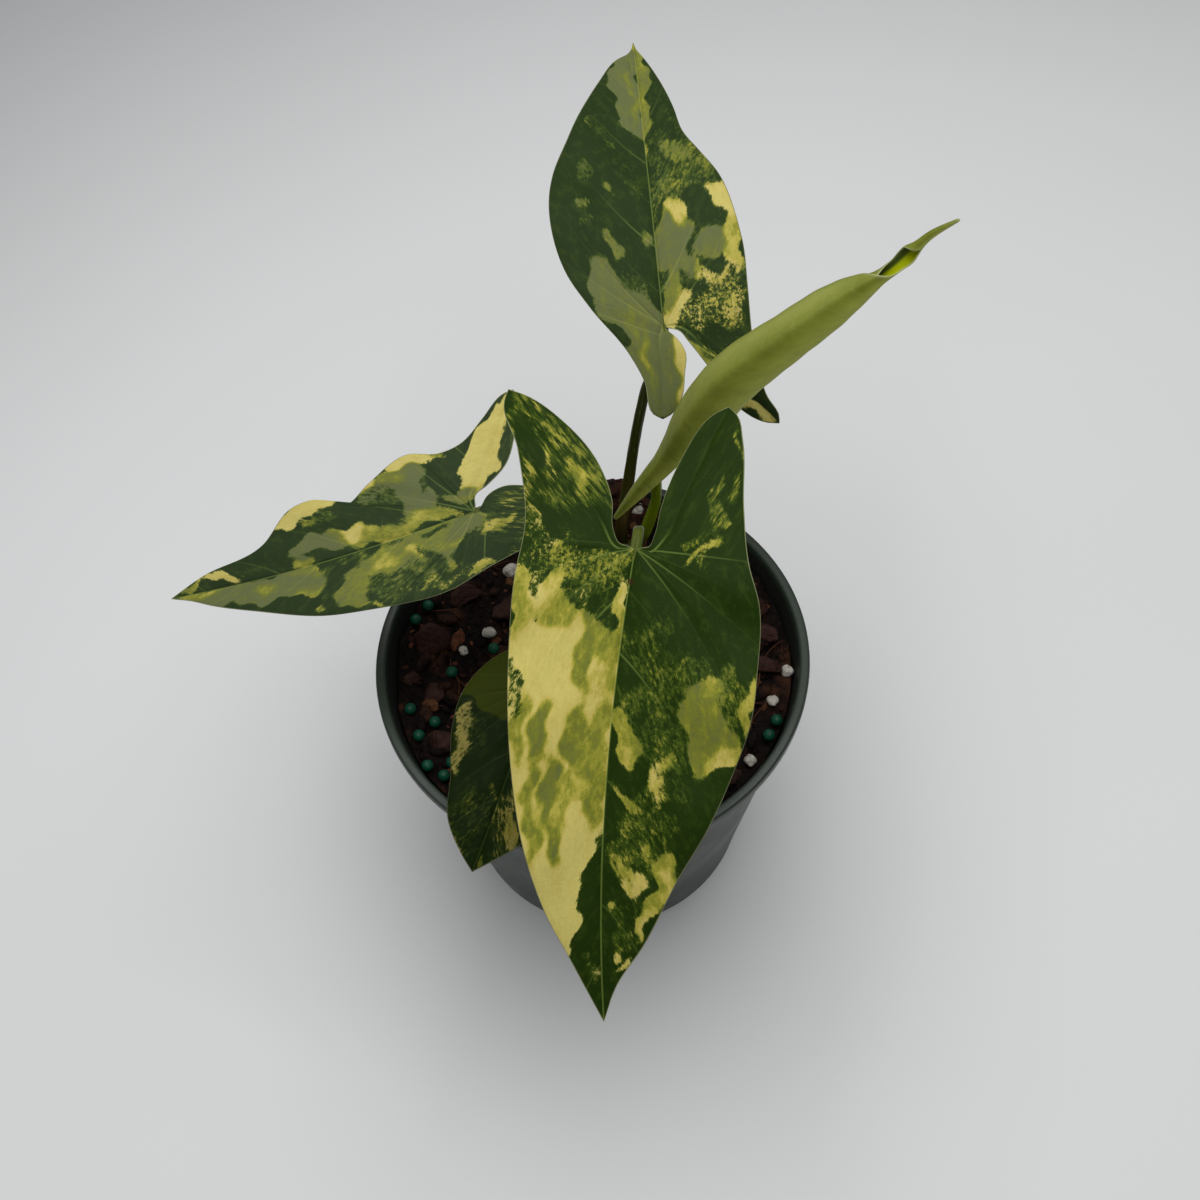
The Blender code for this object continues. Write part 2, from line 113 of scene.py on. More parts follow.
def noise(tree, place, scale, detail=3.0, rough=0.55, stretch=(1, 1, 1), offset=(0, 0, 0)):
    """Cloudy noise, 0 to 1, over a place vector stretched first along its axes."""
    moved = node(tree, "ShaderNodeMapping", {"Vector": place, "Scale": stretch, "Location": offset})
    made = node(tree, "ShaderNodeTexNoise", {"Vector": moved.outputs[0], "Scale": scale,
                                             "Detail": detail, "Roughness": rough})
    return made.outputs["Fac"]


def attribute(tree, name):
    """A vector stored on the mesh, and its three parts."""
    vector = node(tree, "ShaderNodeAttribute", attribute_name=name).outputs["Vector"]
    parts = node(tree, "ShaderNodeSeparateXYZ", {0: vector}).outputs
    return vector, parts[0], parts[1], parts[2]


def own_place(tree):
    """A point's place on its object, in metres."""
    return node(tree, "ShaderNodeTexCoord").outputs["Object"]


print("node helpers: node, maths, ramp, mix, tint, noise, attribute, own_place")


# %% Materials
def new_material(name, roughness, specular):
    """An empty material with one Principled BSDF: returns the material, its tree and the shader."""
    made = bpy.data.materials.new(name)
    made.use_nodes = True
    shader = made.node_tree.nodes["Principled BSDF"]
    shader.inputs["Roughness"].default_value = roughness
    shader.inputs["Specular IOR Level"].default_value = specular
    return made, made.node_tree, shader


def bump(tree, shader, height, strength, distance):
    """Height, in a 0 to 1 pattern, as fine relief on the shader's normal."""
    made = node(tree, "ShaderNodeBump", {"Height": height, "Strength": strength, "Distance": distance})
    tree.links.new(made.outputs["Normal"], shader.inputs["Normal"])


print("material helpers: new_material, bump")

# %% [markdown]
# ## The stage
# A plant for sale is shown on a pale sheet under soft light. The floor is one large plane in a
# light grey. The light comes from one wide lamp overhead and a dim sky, so that shadows are
# soft and a colour renders about as it is written. A small lamp would throw a hard shadow.

# %% Camera
LENS = 45.0  # focal length in mm, in front of a sensor 36 mm wide
CAMERA_PLACE = (0.0, -196.5, 411.5)
CAMERA_TURN = (32.99, 2.70, -5.11)


def make_camera():
    """A 45 mm lens above the front of the plant, looking down at it, turned a little about its
    own axis as a camera held by hand is."""
    data = bpy.data.cameras.new("camera")
    data.lens = LENS
    data.sensor_width = 36.0
    made = bpy.data.objects.new("camera", data)
    bpy.context.scene.collection.objects.link(made)
    made.location = [length * MM for length in CAMERA_PLACE]
    made.rotation_euler = [math.radians(angle) for angle in CAMERA_TURN]
    bpy.context.scene.camera = made
    print("camera", round(math.hypot(*CAMERA_PLACE)), "mm from the middle of the pot's underside")


make_camera()


# %% Lamp and sky
def make_lamp(name, place, size, power, aim):
    """A wide square lamp at place, facing aim."""
    data = bpy.data.lights.new(name, "AREA")
    data.size = size * MM
    data.energy = power
    made = bpy.data.objects.new(name, data)
    bpy.context.scene.collection.objects.link(made)
    place, aim = np.array(place, float), np.array(aim, float)
    across, along, up = aim - place
    made.location = place * MM
    made.rotation_euler = (math.atan2(math.hypot(across, along), -up), 0, math.atan2(-across, along))


def make_sky(strength):
    """The room's own dim light, the same from all sides."""
    sky = bpy.data.worlds.new("room")
    bpy.context.scene.world = sky
    sky.use_nodes = True
    back = sky.node_tree.nodes["Background"]
    back.inputs["Color"].default_value = (1, 1, 1, 1)
    back.inputs["Strength"].default_value = strength


make_lamp("lamp overhead", place=(15, 40, 800), size=700, power=6.0, aim=(0, 0, 0))
make_sky(strength=0.32)
bpy.context.scene.view_settings.view_transform = "Standard"
print("one lamp 700 mm wide and a dim sky are in place")

# %% Floor
FLOOR_WIDTH = 3.0  # m
LIGHT_POOL_MIDDLE = (0.12, -0.05, 0)  # m
FADES_FROM, FADES_TO = 0.3, 0.75  # m from that spot, over which painted shade makes the sheet greyer, as the lamp's light falls off


def make_floor():
    """A wide plane under the pot, pale grey like a paper sheet and a little uneven, with painted
    shade that makes it greyer farther out, where the lamp's light falls off."""
    bpy.ops.mesh.primitive_plane_add(size=FLOOR_WIDTH)
    floor = bpy.context.object
    floor.name = "floor"
    paper, tree, shader = new_material("paper sheet", 0.85, 0.2)
    place = own_place(tree)
    cloud = noise(tree, place, 5.0)
    sheet = mix(tree, cloud, tone(205, 206, 206), tone(211, 212, 213))
    away = node(tree, "ShaderNodeVectorMath", {0: place, 1: LIGHT_POOL_MIDDLE}, operation="DISTANCE")
    far = ramp(tree, away.outputs["Value"], FADES_FROM, FADES_TO)
    # Painted shade: the sheet is greyer the farther it lies from the middle of the lamp's pool of
    # light.
    tree.links.new(mix(tree, far, sheet, tone(160, 161, 163)), shader.inputs["Base Color"])
    floor.data.materials.append(paper)
    print(floor.name, FLOOR_WIDTH, "m wide")


make_floor()

# %% [markdown]
# ## A sheet from flat coordinates
# A leaf blade grows flat in the bud and bends as it opens. So each blade is drawn flat, in
# millimetres across and along its midrib, and then laid on a bent sheet: the midrib follows a
# line in space that turns and droops, the halves fold up beside it and curl down towards the
# margin. The alternative, pushing points about in space, never gives two halves that match.

# %% The blades, drawn flat
# "run": (distance from the joint, heading, climb, roll) along the midrib, in mm and degrees.
# "inner" runs from the notch at the joint to a lobe's tip, "outer" from there to the leaf's tip,
# and "ribs" are points that the lobe's own rib passes on its way from the joint to its tip.
BLADES = {
    "front": {
        "joint": (11.0, -21.0, 160.0),
        "run": ((-45, -108, -10, 0), (0, -106, -22, 0), (55, -100, -37, 0), (100, -92, -47, 0)),
        "fold": 10.0, "curl": 0.35, "tip": (-1.5, 99.0), "ripple": 0.6,
        "sides": (
            {"inner": ((1.3, -0.3), (2.9, -0.7), (3.6, -3.0), (4.0, -9), (6.6, -20.5), (11.4, -30.6)),
             "ribs": ((3.1, 0.6), (5.8, -2.6), (8.2, -11)), "lobe": (14.2, -32.8),
             "outer": ((16.2, -31.2), (18.6, -25), (21.0, -11), (23.8, 1), (26.9, 9), (28.0, 22),
                       (27.8, 32), (24.6, 45), (20.4, 56), (14.3, 68), (7.5, 82), (1.7, 91))},
            {"inner": ((-1.4, -0.3), (-3.3, -0.6), (-5.1, -3.4), (-6.2, -9), (-10.5, -16.5),
                       (-19.5, -24.3), (-29, -29.3)),
             "ribs": ((-3.4, 0.6), (-7.4, -4.0), (-12.8, -11.2)), "lobe": (-32.9, -30.2),
             "outer": ((-33.2, -28.3), (-27.3, -16), (-23.4, -2), (-23.4, 9), (-23, 22), (-21.5, 36),
                       (-19.5, 51), (-16.5, 63.5), (-12.5, 75), (-8, 84), (-4, 93))},
        ),
    },
    "back": {
        "joint": (24.0, 43.0, 156.0),
        "run": ((-32, 92, 70, 0), (0, 91, 34, 0), (45, 90, 8, 0), (92, 89, -12, 0)),
        "fold": 8.0, "curl": 0.3, "tip": (-1.9, 86.5), "ripple": 0.5,
        "sides": (
            {"inner": ((-0.8, -1.0), (-2.7, -3.0), (-4.4, -6.4), (-3.7, -11.5), (-2.6, -16.6),
                       (0.3, -20.4)),
             "ribs": ((1.0, -2.0), (1.3, -8.0)), "lobe": (2.4, -21.2),
             "outer": ((4.5, -19.8), (5.9, -12), (8.8, -5.4), (16.6, 5.8), (20.9, 14), (23.3, 25),
                       (21.6, 40), (17.2, 50), (12.8, 60), (7.8, 70), (3.4, 78), (-0.9, 82.5))},
            {"inner": ((-1.1, -0.6), (-3.4, -1.5), (-5.3, -4.2), (-9, -10), (-15.5, -20.5),
                       (-21.5, -24.6)),
             "ribs": ((-3.0, -0.3), (-8.5, -5.3), (-15, -14.2)), "lobe": (-24.7, -25.3),
             "outer": ((-24.7, -23.4), (-22, -18), (-20.3, -8), (-20.2, 6), (-20.4, 18), (-17.3, 35),
                       (-13.5, 43), (-10.3, 50), (-9.2, 57), (-6.8, 68), (-3.6, 79), (-2.4, 82.5))},
        ),
    },
    "left": {
        "joint": (-24.0, 15.0, 130.0),
        "run": ((-30, 197, 0, -12), (0, 192, -8, -14), (40, 180, -17, -14), (82, 169, -22, -10)),
        "fold": 8.0, "curl": 0.3, "tip": (0.0, 82.0), "ripple": 0.8,
        "sides": (
            {"inner": ((-0.5, -1.6), (-2.5, -4.0), (-3.4, -8), (-1.6, -13.5), (5.0, -21)),
             "ribs": ((1.6, -2.2), (4.0, -8.5), (7.5, -16)), "lobe": (12.0, -24.4),
             "outer": ((14.6, -20), (13.6, -8), (15.0, 0), (17.0, 9), (16.7, 20), (14.1, 38),
                       (8.2, 57), (4.6, 68), (1.6, 76))},
            {"inner": ((-1.1, -0.7), (-3.4, -1.4), (-5.0, -5.2), (-8.2, -11), (-14.5, -15.6),
                       (-21.5, -18.2)),
             "ribs": ((-3.2, 0.1), (-7.5, -4.0), (-14, -10)), "lobe": (-25.2, -19.4),
             "outer": ((-24.8, -16.5), (-21, -9.5), (-17.2, -2), (-16.6, 3.5), (-18.7, 11.5),
                       (-15.5, 23), (-12.0, 29.7), (-15.6, 38), (-15.2, 46), (-8.5, 54), (-4.0, 73))},
        ),
    },
    "low": {
        "joint": (-14.0, -17.0, 101.0),
        "run": ((-20, -107, -2, 0), (0, -111, -12, 0), (25, -115, -18, 0), (52, -120, -24, 0)),
        "fold": 8.0, "curl": 0.5, "tip": (-0.4, 46.0), "ripple": 0.4,
        "sides": (
            {"inner": ((1.0, -0.8), (3.5, -4.5)), "ribs": ((2.0, -0.3), (5.5, -4.4)),
             "lobe": (8.5, -9.0),
             "outer": ((14.5, -2), (16.5, 8), (15.2, 20), (12, 30), (8, 37), (3.5, 42))},
            {"inner": ((-1.0, -0.8), (-3.5, -4.8)), "ribs": ((-2.0, -0.3), (-5.3, -4.3)),
             "lobe": (-8.0, -8.5),
             "outer": ((-13.3, -2.8), (-16.6, 5), (-16.5, 15), (-13.0, 27), (-10.4, 36), (-4.3, 43))},
        ),
    },
}
print("midribs in mm:", {name: blade["tip"][1] for name, blade in BLADES.items()})

# %% From flat to bent
MIDRIB_STEP = 0.5  # mm
BEHIND_JOINT, PAST_TIP = 60, 20  # mm by which a midrib's line is carried on at its two ends
RIPPLE_AT = 20  # mm from the midrib, where the ripple has its full height
RIPPLE_TURN = 0.24  # radians of the ripple for each mm along the blade
SPLINE_SAMPLES = 2000


def station(run, column, along):
    """A value of the midrib's course at a distance: the polynomial through its stations."""
    places = np.array([row[0] for row in run], float)
    values = np.array([row[column] for row in run], float)
    curve = np.polyfit(places, values, len(run) - 1)
    return np.polyval(curve, np.clip(along, places[0], places[-1]))


def stacked(*parts):
    """Arrays or numbers, spread to one shape, as one array of vectors."""
    return np.stack(np.broadcast_arrays(*parts), -1)


def blade_frame(blade, along):
    """Point, side and upward direction of the bent sheet at distances along the midrib. The
    midrib is the running sum of short steps in the direction that heading and climb give."""
    fine = np.arange(-BEHIND_JOINT, blade["tip"][1] + PAST_TIP, MIDRIB_STEP)
    heading, climb, roll = (np.radians(station(blade["run"], column, fine)) for column in (1, 2, 3))
    ahead = stacked(np.cos(climb) * np.cos(heading), np.cos(climb) * np.sin(heading), np.sin(climb))
    level = stacked(-np.sin(heading), np.cos(heading), 0)
    upright = np.cross(ahead, level)
    side = level * np.cos(roll)[:, None] + upright * np.sin(roll)[:, None]
    up = upright * np.cos(roll)[:, None] - level * np.sin(roll)[:, None]
    line = np.cumsum(ahead * MIDRIB_STEP, 0)
    line += np.array(blade["joint"]) - line[np.argmin(abs(fine))]

    def read(values):
        return np.stack([np.interp(along, fine, values[:, i]) for i in range(3)], -1)

    return read(line), read(side), read(up)


def on_sheet(blade, across, along):
    """Flat to space: out to each side the sheet starts at the fold angle and its slope falls
    steadily, which is a circle's arc, with a slow ripple that grows towards the margin."""
    line, side, up = blade_frame(blade, along)
    fold = math.radians(blade["fold"])
    curl = math.radians(blade["curl"])
    away = np.abs(across)
    out = (math.sin(fold) - np.sin(fold - curl * away)) / curl
    rise = (np.cos(fold - curl * away) - math.cos(fold)) / curl
    rise += blade["ripple"] * (away / RIPPLE_AT) ** 2 * np.sin(RIPPLE_TURN * along + np.sign(across))
    return line + side * (np.sign(across) * out)[..., None] + up * rise[..., None]


def spline(points, count):
    """count evenly spaced points on the smooth curve through a few given ones: on each stretch a
    cubic whose end slopes are the average of its neighbours'."""
    given = np.array(points, float)
    steps = np.linalg.norm(np.diff(given, axis=0), axis=1)
    knots = np.concatenate([[0], np.cumsum(steps)])
    slopes = np.gradient(given, knots, axis=0)
    fine = np.linspace(0, knots[-1], SPLINE_SAMPLES)
    cell = np.clip(np.searchsorted(knots, fine, "right") - 1, 0, len(steps) - 1)
    width = steps[cell][:, None]
    share = ((fine - knots[cell]) / steps[cell])[:, None]
    a, b = given[cell], given[cell + 1]
    p, q = slopes[cell] * width, slopes[cell + 1] * width
    curve = (a * (1 + 2 * share) * (1 - share) ** 2 + p * share * (1 - share) ** 2
             + b * share**2 * (3 - 2 * share) + q * share**2 * (share - 1))
    length = np.concatenate([[0], np.cumsum(np.linalg.norm(np.diff(curve, axis=0), axis=1))])
    wanted = np.linspace(0, length[-1], count)
    return np.stack([np.interp(wanted, length, curve[:, i]) for i in range(curve.shape[1])], 1)


for name, blade in BLADES.items():
    across, along = np.array(blade["tip"])[:, None]
    print(name, "tip in space, in mm:", on_sheet(blade, across, along)[0].round(1))

# %% [markdown]
# ## Rungs, veins and grain
# In a syngonium leaf the side veins fan out from the joint and then leave the midrib one after
# another, all leaning forward. The colour streaks follow them. So each half blade is a ladder:
# its rungs run from the ribs to the margin the way the veins do, many of them starting at the
# joint. The position along the margin then numbers the veins, and a pattern stretched along the
# rungs follows them without any drawing of single veins.

# %% Half a blade as two ladders of rungs
FAN = (0.28, 0.52)  # share of the outer margin whose rungs all start at the joint
CROWDING = 1.6  # how much closer together the rungs are near the joint than at a lobe's tip
VEINS = 8  # main side veins that reach the outer margin
ALTERNATE = 0.5  # the second half's side veins leave the midrib between those of the first
INNER_VEINS = 2
BOW = 0.09  # how far a side vein bows towards the joint, as a share of its length
CURVE_SAMPLES = 1001


def rise(value, low, high):
    """A smooth step over an array: 0 below low, 1 above high, an S-shaped rise between."""
    share = np.clip((value - low) / (high - low), 0, 1)
    return share * share * (3 - 2 * share)


def bell(distance, width):
    """A bell curve over an array: 1 at no distance, 0.37 where the distance is the width."""
    return np.exp(-((distance / width) ** 2))


def on_curve(points, shares):
    """Points at given shares of the length of the smooth curve through a few given ones."""
    fine = spline(points, CURVE_SAMPLES)
    at = np.linspace(0, 1, CURVE_SAMPLES)
    return np.stack([np.interp(shares, at, fine[:, i]) for i in range(2)], 1)


def rung_ends(blade, side, steps, inner):
    """Start and end of each rung, and its share of the margin. Inner ladder: from the lobe's rib
    to the notch's margin. Outer ladder: the starts come down the same points of the rib, wait at
    the joint for the fan, then follow the midrib."""
    on_rib, in_fan, on_midrib = steps
    spread = np.linspace(0, 1, on_rib + 1) ** CROWDING
    rib = on_curve([(0, 0), *side["ribs"], side["lobe"]], spread)
    if inner:
        return rib, on_curve([(0, 0), *side["inner"], side["lobe"]], spread), spread
    share = np.concatenate([FAN[0] * (1 - spread[::-1]), np.linspace(*FAN, in_fan + 1)[1:-1],
                            np.linspace(FAN[1], 1, on_midrib + 1)])
    midrib = np.outer(np.linspace(0, 1, on_midrib + 1), blade["tip"])
    start = np.concatenate([rib[::-1], np.zeros((in_fan - 1, 2)), midrib])
    return start, on_curve([side["lobe"], *side["outer"], blade["tip"]], share), share


def ladder(blade, side, steps, columns, inner=False, lag=0.0):
    """One ladder as arrays of rows by columns: flat places, and where each lies among the veins.
    Rungs outside the lobe bow a little towards the joint, as side veins do. The distance from
    one vein to the next is the cross product of the step to the next rung and the rung's way.
    The columns are crowded at both ends of a rung, half by a cosine and half not at all."""
    start, margin, share = rung_ends(blade, side, steps, inner)
    reach = 0.5 - 0.5 * np.cos(np.linspace(0, np.pi, columns))
    reach = 0.5 * reach + 0.5 * np.linspace(0, 1, columns)
    flat = start[:, None] + (margin - start)[:, None] * reach[None, :, None]
    length = np.linalg.norm(margin - start, axis=1)[:, None]
    share = share[:, None]
    if not inner:
        flat[..., 1] -= BOW * length * np.clip(share / FAN[0] - 1, 0, 1) * 4 * reach * (1 - reach)
    turns = lag + share * (INNER_VEINS if inner else VEINS)
    way = (margin - start) / (length + 1e-9)
    step = np.gradient(flat, axis=0)
    apart = np.abs(step[..., 0] * way[:, 1:] - step[..., 1] * way[:, :1]) / np.gradient(turns, axis=0)
    shape = flat.shape[:2]
    grain = {"rung": length * reach, "edge": length * (1 - reach), "apart": apart,
             "inward": np.broadcast_to(1 - reach, shape), "turns": np.broadcast_to(turns, shape)}
    return flat, grain


# For each blade: rungs along a lobe's rib, in the fan and along the midrib, then the columns.
LADDERS = {"front": ((44, 70, 170), 64), "back": ((40, 60, 130), 50),
           "left": ((40, 60, 130), 46), "low": ((24, 36, 70), 30)}
for name, blade in BLADES.items():
    flat, grain = ladder(blade, blade["sides"][0], *LADDERS[name])
    print(name, "blade: widest half", round(flat[..., 0].max(), 1), "mm, longest rung",
          round(grain["rung"].max(), 1), "mm")


# %% [markdown]
# ## Variegation
# Cream and green patches come from cells that lost their green early or late: early losses are
# wide plain patches, late ones are specks, drawn out along the veins. Each half blade therefore
# has a short list of soft ellipses laid over one another, which say how much of the tissue is
# pale there (-1 none, 0 half of it in specks, 1 all; -2 stands for olive tissue) and how cream it
# is (-1 grey-green, 0 yellow-green, 1 cream). Noise turns those shares into ragged edges.

# %% The patches of each half blade
# Each row: distance out from the midrib, distance along it, half width, half length, turn in
# degrees (0 lies along the midrib, positive leans outward), level. Later rows cover earlier ones.
PALE = {
    ("front", 1): (
        (18, -24.5, 0.6, 3, 12, 0.5), (19, -16, 1.0, 4, 5, -0.05), (16, -15, 0.8, 2.4, 5, 0.5),
        (15.7, -9.5, 2.0, 6, 5, -0.1), (17, -6.3, 1.2, 0.9, 0, 0.3),
        (12.8, -4, 1.6, 4, 125, -0.2), (14.6, -1.0, 1.0, 3.8, 125, 0.75),
        (15, 2.3, 3, 1.2, 100, -0.2), (1.1, 19.5, 0.8, 3, 18, 0.1), (6, 19.5, 7, 5, 60, -0.34),
        (12, 27, 9, 5, 50, -0.3), (6, 30, 6, 6, 40, -0.24), (2.2, 27, 1.6, 3, 15, -0.8),
        (9, 38, 5, 8, 35, -0.3), (19, 35, 4.8, 9.5, 4, 1.0), (22.5, 39, 3.4, 5, 0, 1.0),
        (23.6, 28, 2.8, 6.5, 15, -0.1), (27.3, 31, 1.2, 7.5, 0, 0.95),
        (2.6, 39.5, 2.6, 5.5, 20, 1.0), (14, 46, 4, 5, 30, -0.4), (4.6, 46, 2.0, 4.2, 50, -0.95),
        (10.6, 46, 1.7, 5, -8, 0.3), (9.4, 50, 1.4, 2.2, 0, 0.5), (12.4, 54, 1.8, 2.6, 40, 0.0),
        (8, 56, 6, 6, 30, -0.28), (3.6, 51.5, 1.3, 4.2, 25, 0.5), (4.2, 57, 3, 2.2, 30, -0.1),
        (3.5, 62, 4, 2.6, 40, -0.15), (10, 63, 5, 4, 20, -0.3), (8.7, 61, 1.2, 2.8, 20, 0.1),
        (2.6, 66, 2.2, 2.2, 0, 0.25), (5.4, 67.6, 2.2, 3.4, 25, 0.5), (12, 67.5, 2.4, 6, -5, 1.0),
        (9.6, 73, 2.0, 4.5, -30, 0.9), (7.5, 79, 1.3, 4.2, -25, 0.7),
        (4.6, 74.5, 3.0, 4.0, 0, -0.4), (1.2, 73.5, 0.8, 1.2, 0, 0.6),
        (3.6, 80.5, 3.0, 3.0, 0, -0.25), (1.2, 84.5, 1.0, 1.6, 0, 0.6),
        (3, 86.5, 0.8, 2.2, -25, 0.5),
    ),
    ("front", -1): (
        (18, -17, 9, 18, 138, -0.3), (29, -27, 3, 4, 130, -0.15), (23, -27.6, 1.2, 10, 115, -0.6),
        (14.4, -17.5, 0.6, 9, 141, 0.1), (14.3, -12.8, 1.0, 4.0, 138, 0.5),
        (20.5, -22, 1.4, 4, 140, -0.1), (7.6, -9.5, 1.2, 5, 150, -0.1),
        (20.3, -12.5, 0.7, 3, 150, 0.4), (25.2, -17, 1.6, 6.5, 150, -0.95),
        (10, -4.6, 2.8, 8, 112, -0.7), (18, -9, 4, 5, 120, -0.3), (24.6, -9, 1.8, 5, -10, -0.12),
        (22.5, -3, 2.4, 4.5, -20, -0.2), (20.4, -2.2, 0.8, 3.2, -33, 0.3),
        (19, -8, 1.4, 3, 150, -0.15), (20, 4.5, 3.4, 4.5, 0, -0.35),
        (16.4, 3.4, 1.6, 1.0, 60, 0.7), (14, 1, 3, 2.0, 90, -0.45), (9, 5.4, 8, 4.4, 0, -0.02),
        (1.6, 3, 1.2, 3.5, 30, 0.1), (12, 50, 18, 37, 3, 1.0), (15.5, 12.4, 3.6, 4.6, 0, 0.95),
        (21.4, 14.5, 2.6, 7.5, 0, 1.0), (18.2, 9, 1.2, 2.6, 0, -0.1),
        (7.6, 11.4, 5, 4.2, 0, -0.3), (4.8, 11.8, 2.4, 3.4, 30, -0.5), (1.0, 14, 1.4, 6, 0, 1.0),
        (21, 31, 1.7, 7, -8, -0.1), (1.5, 83, 5.4, 24, 3, -1.0), (4, 84, 1.4, 1.4, 0, -0.25),
        (2.8, 88, 1.3, 3.4, 10, -0.2),
    ),
    ("back", 1): (
        (1.5, -10, 7.5, 13, 0, 1.0), (8, 5, 6, 9, 40, 1.0), (12.5, 12, 3.2, 5.5, 20, 1.0),
        (5.8, 10.5, 2.0, 5.5, 40, -0.3), (9.5, 20, 1.7, 3.0, 0, 0.4),
        (1.5, 20.5, 1.2, 2.2, 0, 0.4), (15, 27, 1.6, 2.4, 40, -0.3),
        (16, 31.5, 1.8, 2.0, 0, 0.15), (9, 34, 0.9, 2, 10, 0.2), (13.6, 41, 2.2, 3.2, 0, -0.2),
        (3, 36, 3, 5, 0, -0.5), (10, 53, 2.4, 3, 10, -0.35), (7.5, 48, 0.9, 2.5, 20, -0.1),
        (1.4, 57, 2.8, 9, 14, 1.0), (1.8, 69, 3.6, 13, -2, 1.0), (-1.5, 83, 2, 6, 0, 1.0),
    ),
    ("back", -1): (
        (10, 22, 11, 34, 0, -0.42), (14, -12, 8, 7, 120, -0.3),
        (19.5, -22.2, 1.3, 5.5, 124, 0.95), (13, 3, 7, 7, 0, -0.1), (13, -5, 6, 3, 0, -0.6),
        (7, -6.3, 1.0, 4, 140, 0.85), (16.5, 3, 1.4, 3, -20, 0.25), (11, 11, 5, 2.0, 0, 0.3),
        (3.6, 3.3, 1.5, 4, 45, 1.0), (2.6, 8, 1.8, 4, 15, 0.7), (8.6, 7, 1.8, 1.8, 0, -0.5),
        (13.6, 13.2, 2.3, 1.8, 0, -0.9), (18, 9, 1.4, 3, -15, -0.5), (5, 14.5, 4.6, 3, 0, 0.8),
        (4.4, 20.5, 4.2, 8.5, 8, 1.0), (14.4, 17.8, 4.6, 3.4, 0, 1.0),
        (18.6, 21, 2.0, 12, 3, 1.0), (17, 30, 2.0, 4.5, -18, 0.9), (11.6, 27, 3.6, 4.6, 0, -0.8),
        (6.2, 28, 2.0, 3, 0, 0.9), (8, 36, 7, 5, 0, -0.2), (12.4, 40, 2.6, 2.6, 30, 0.0),
        (8, 44, 3.2, 4.4, 0, 0.2), (12.6, 44, 1.0, 3, -20, 0.1), (5, 34, 2.4, 1.5, 60, 0.2),
        (8, 57, 3, 8, 0, -0.55), (1.2, 48, 0.9, 4, 0, 0.9), (2.0, 66, 2.0, 17, 4, 1.0),
        (1.5, 83, 2, 6, 0, 1.0),
    ),
    ("left", 1): (
        (6, -10, 9, 11, 0, -0.35), (4.3, -6.5, 0.9, 3, 0, 0.6), (6, -1.5, 2, 2, 60, 0.2),
        (10, -2, 3, 5, 0, -0.7), (14.6, 3.5, 1.5, 4, 0, 0.4), (3.5, 14, 5, 14, 2, 0.85),
        (2, 4, 3, 5, 10, 1.0), (10, 9.4, 2.4, 2.2, 0, 0.6), (8, 12, 4.2, 2, 30, -0.4),
        (13, 7, 1.8, 2, 0, -0.4), (12.5, 14, 2, 1.6, 0, 0.1), (14.6, 13, 1.4, 5, 0, 0.0),
        (9, 18, 2.6, 4, 10, 0.12), (13, 21, 3.2, 5, 0, -0.3), (9, 25, 3.2, 3, 0, -0.1),
        (4.6, 22, 3, 8, 0, 1.0), (1.1, 11, 0.9, 3, 5, -0.7), (0.8, 20, 0.9, 3, 0, -0.3),
        (1.5, 30, 1.8, 3, 0, -0.15), (10, 32, 4.8, 5, 0, 1.0), (14.8, 27, 0.7, 3, -15, 0.4),
        (6.5, 35, 2.0, 2.4, 0, -0.9), (9, 37.6, 4, 2, 20, -0.5), (11.6, 40.5, 1.1, 1.4, 0, 0.3),
        (2, 34, 1.2, 2, 0, -0.2), (3.6, 45, 4.2, 8.5, -6, 0.95), (3.2, 56, 3.4, 13, -4, 1.0),
        (1.6, 69, 2.4, 10, -4, 1.0),
    ),
    ("left", -1): (
        (14.0, -8.0, 3.9, 13.5, 132, 1.0), (14.5, -13.6, 1.6, 3.4, 120, -0.5),
        (5, 1.5, 3.6, 1.4, 100, 0.7), (10.5, 5, 5.4, 3.4, 100, -0.95),
        (16.5, 6, 1.3, 2.6, 0, 0.4), (17.2, 11.5, 2.8, 5, 0, 1.0), (11.5, 13.4, 5, 4.4, 0, 0.8),
        (6.4, 11, 3, 5, 30, 1.0), (9, 9.4, 2, 1.4, 0, -0.3), (3, 13, 1.9, 9, 12, 1.0),
        (14.8, 18, 2.2, 3.4, 0, 0.7), (12, 21, 3.2, 4.6, 0, -0.05),
        (15, 23.6, 1.7, 2.8, -10, 0.95), (6.6, 25, 2.2, 10, 14, -0.95), (2, 24, 2.2, 9, 12, 0.95),
        (5, 30.5, 1.8, 3.2, 10, 1.0), (4.6, 34.4, 2.6, 2.6, 0, 0.8), (10.5, 36, 2, 6, 0, -0.4),
        (14, 42, 2.7, 9.5, -8, 1.0), (9.6, 41, 1.3, 2.6, 0, 0.2), (4.6, 40, 2.4, 5.2, 0, 1.0),
        (2, 40, 0.8, 2.2, 35, -0.9), (1.3, 43.6, 1.4, 2.4, 0, 0.9), (2.2, 57, 1, 4, 0, -0.4),
        (2.8, 66.5, 1.2, 4.4, 10, 0.7), (2.3, 75, 1.0, 5, -18, 0.5),
    ),
    ("low", 1): (
        (3, 33, 4, 9, 10, -0.2), (4, 28, 1.6, 3.4, 40, -0.1), (6, 35, 1.6, 4.5, 20, 0.45),
        (0.9, 44, 0.9, 1.6, 0, 0.3),
    ),
    ("low", -1): (
        (9, 0, 11, 9.2, 0, -2.0), (7, 36, 6, 9, 0, -0.36), (13.8, 13.5, 2.6, 5, 0, 0.2),
        (12.8, 20.5, 2.0, 4, -10, 0.2), (10, 15, 2.5, 4.5, 0, -0.35),
        (7.6, 30.6, 2.6, 1.0, 75, -0.1), (6, 41.4, 1.5, 1.5, 0, 0.5), (1.8, 27, 0.9, 3, 0, 0.0),
    ),
}
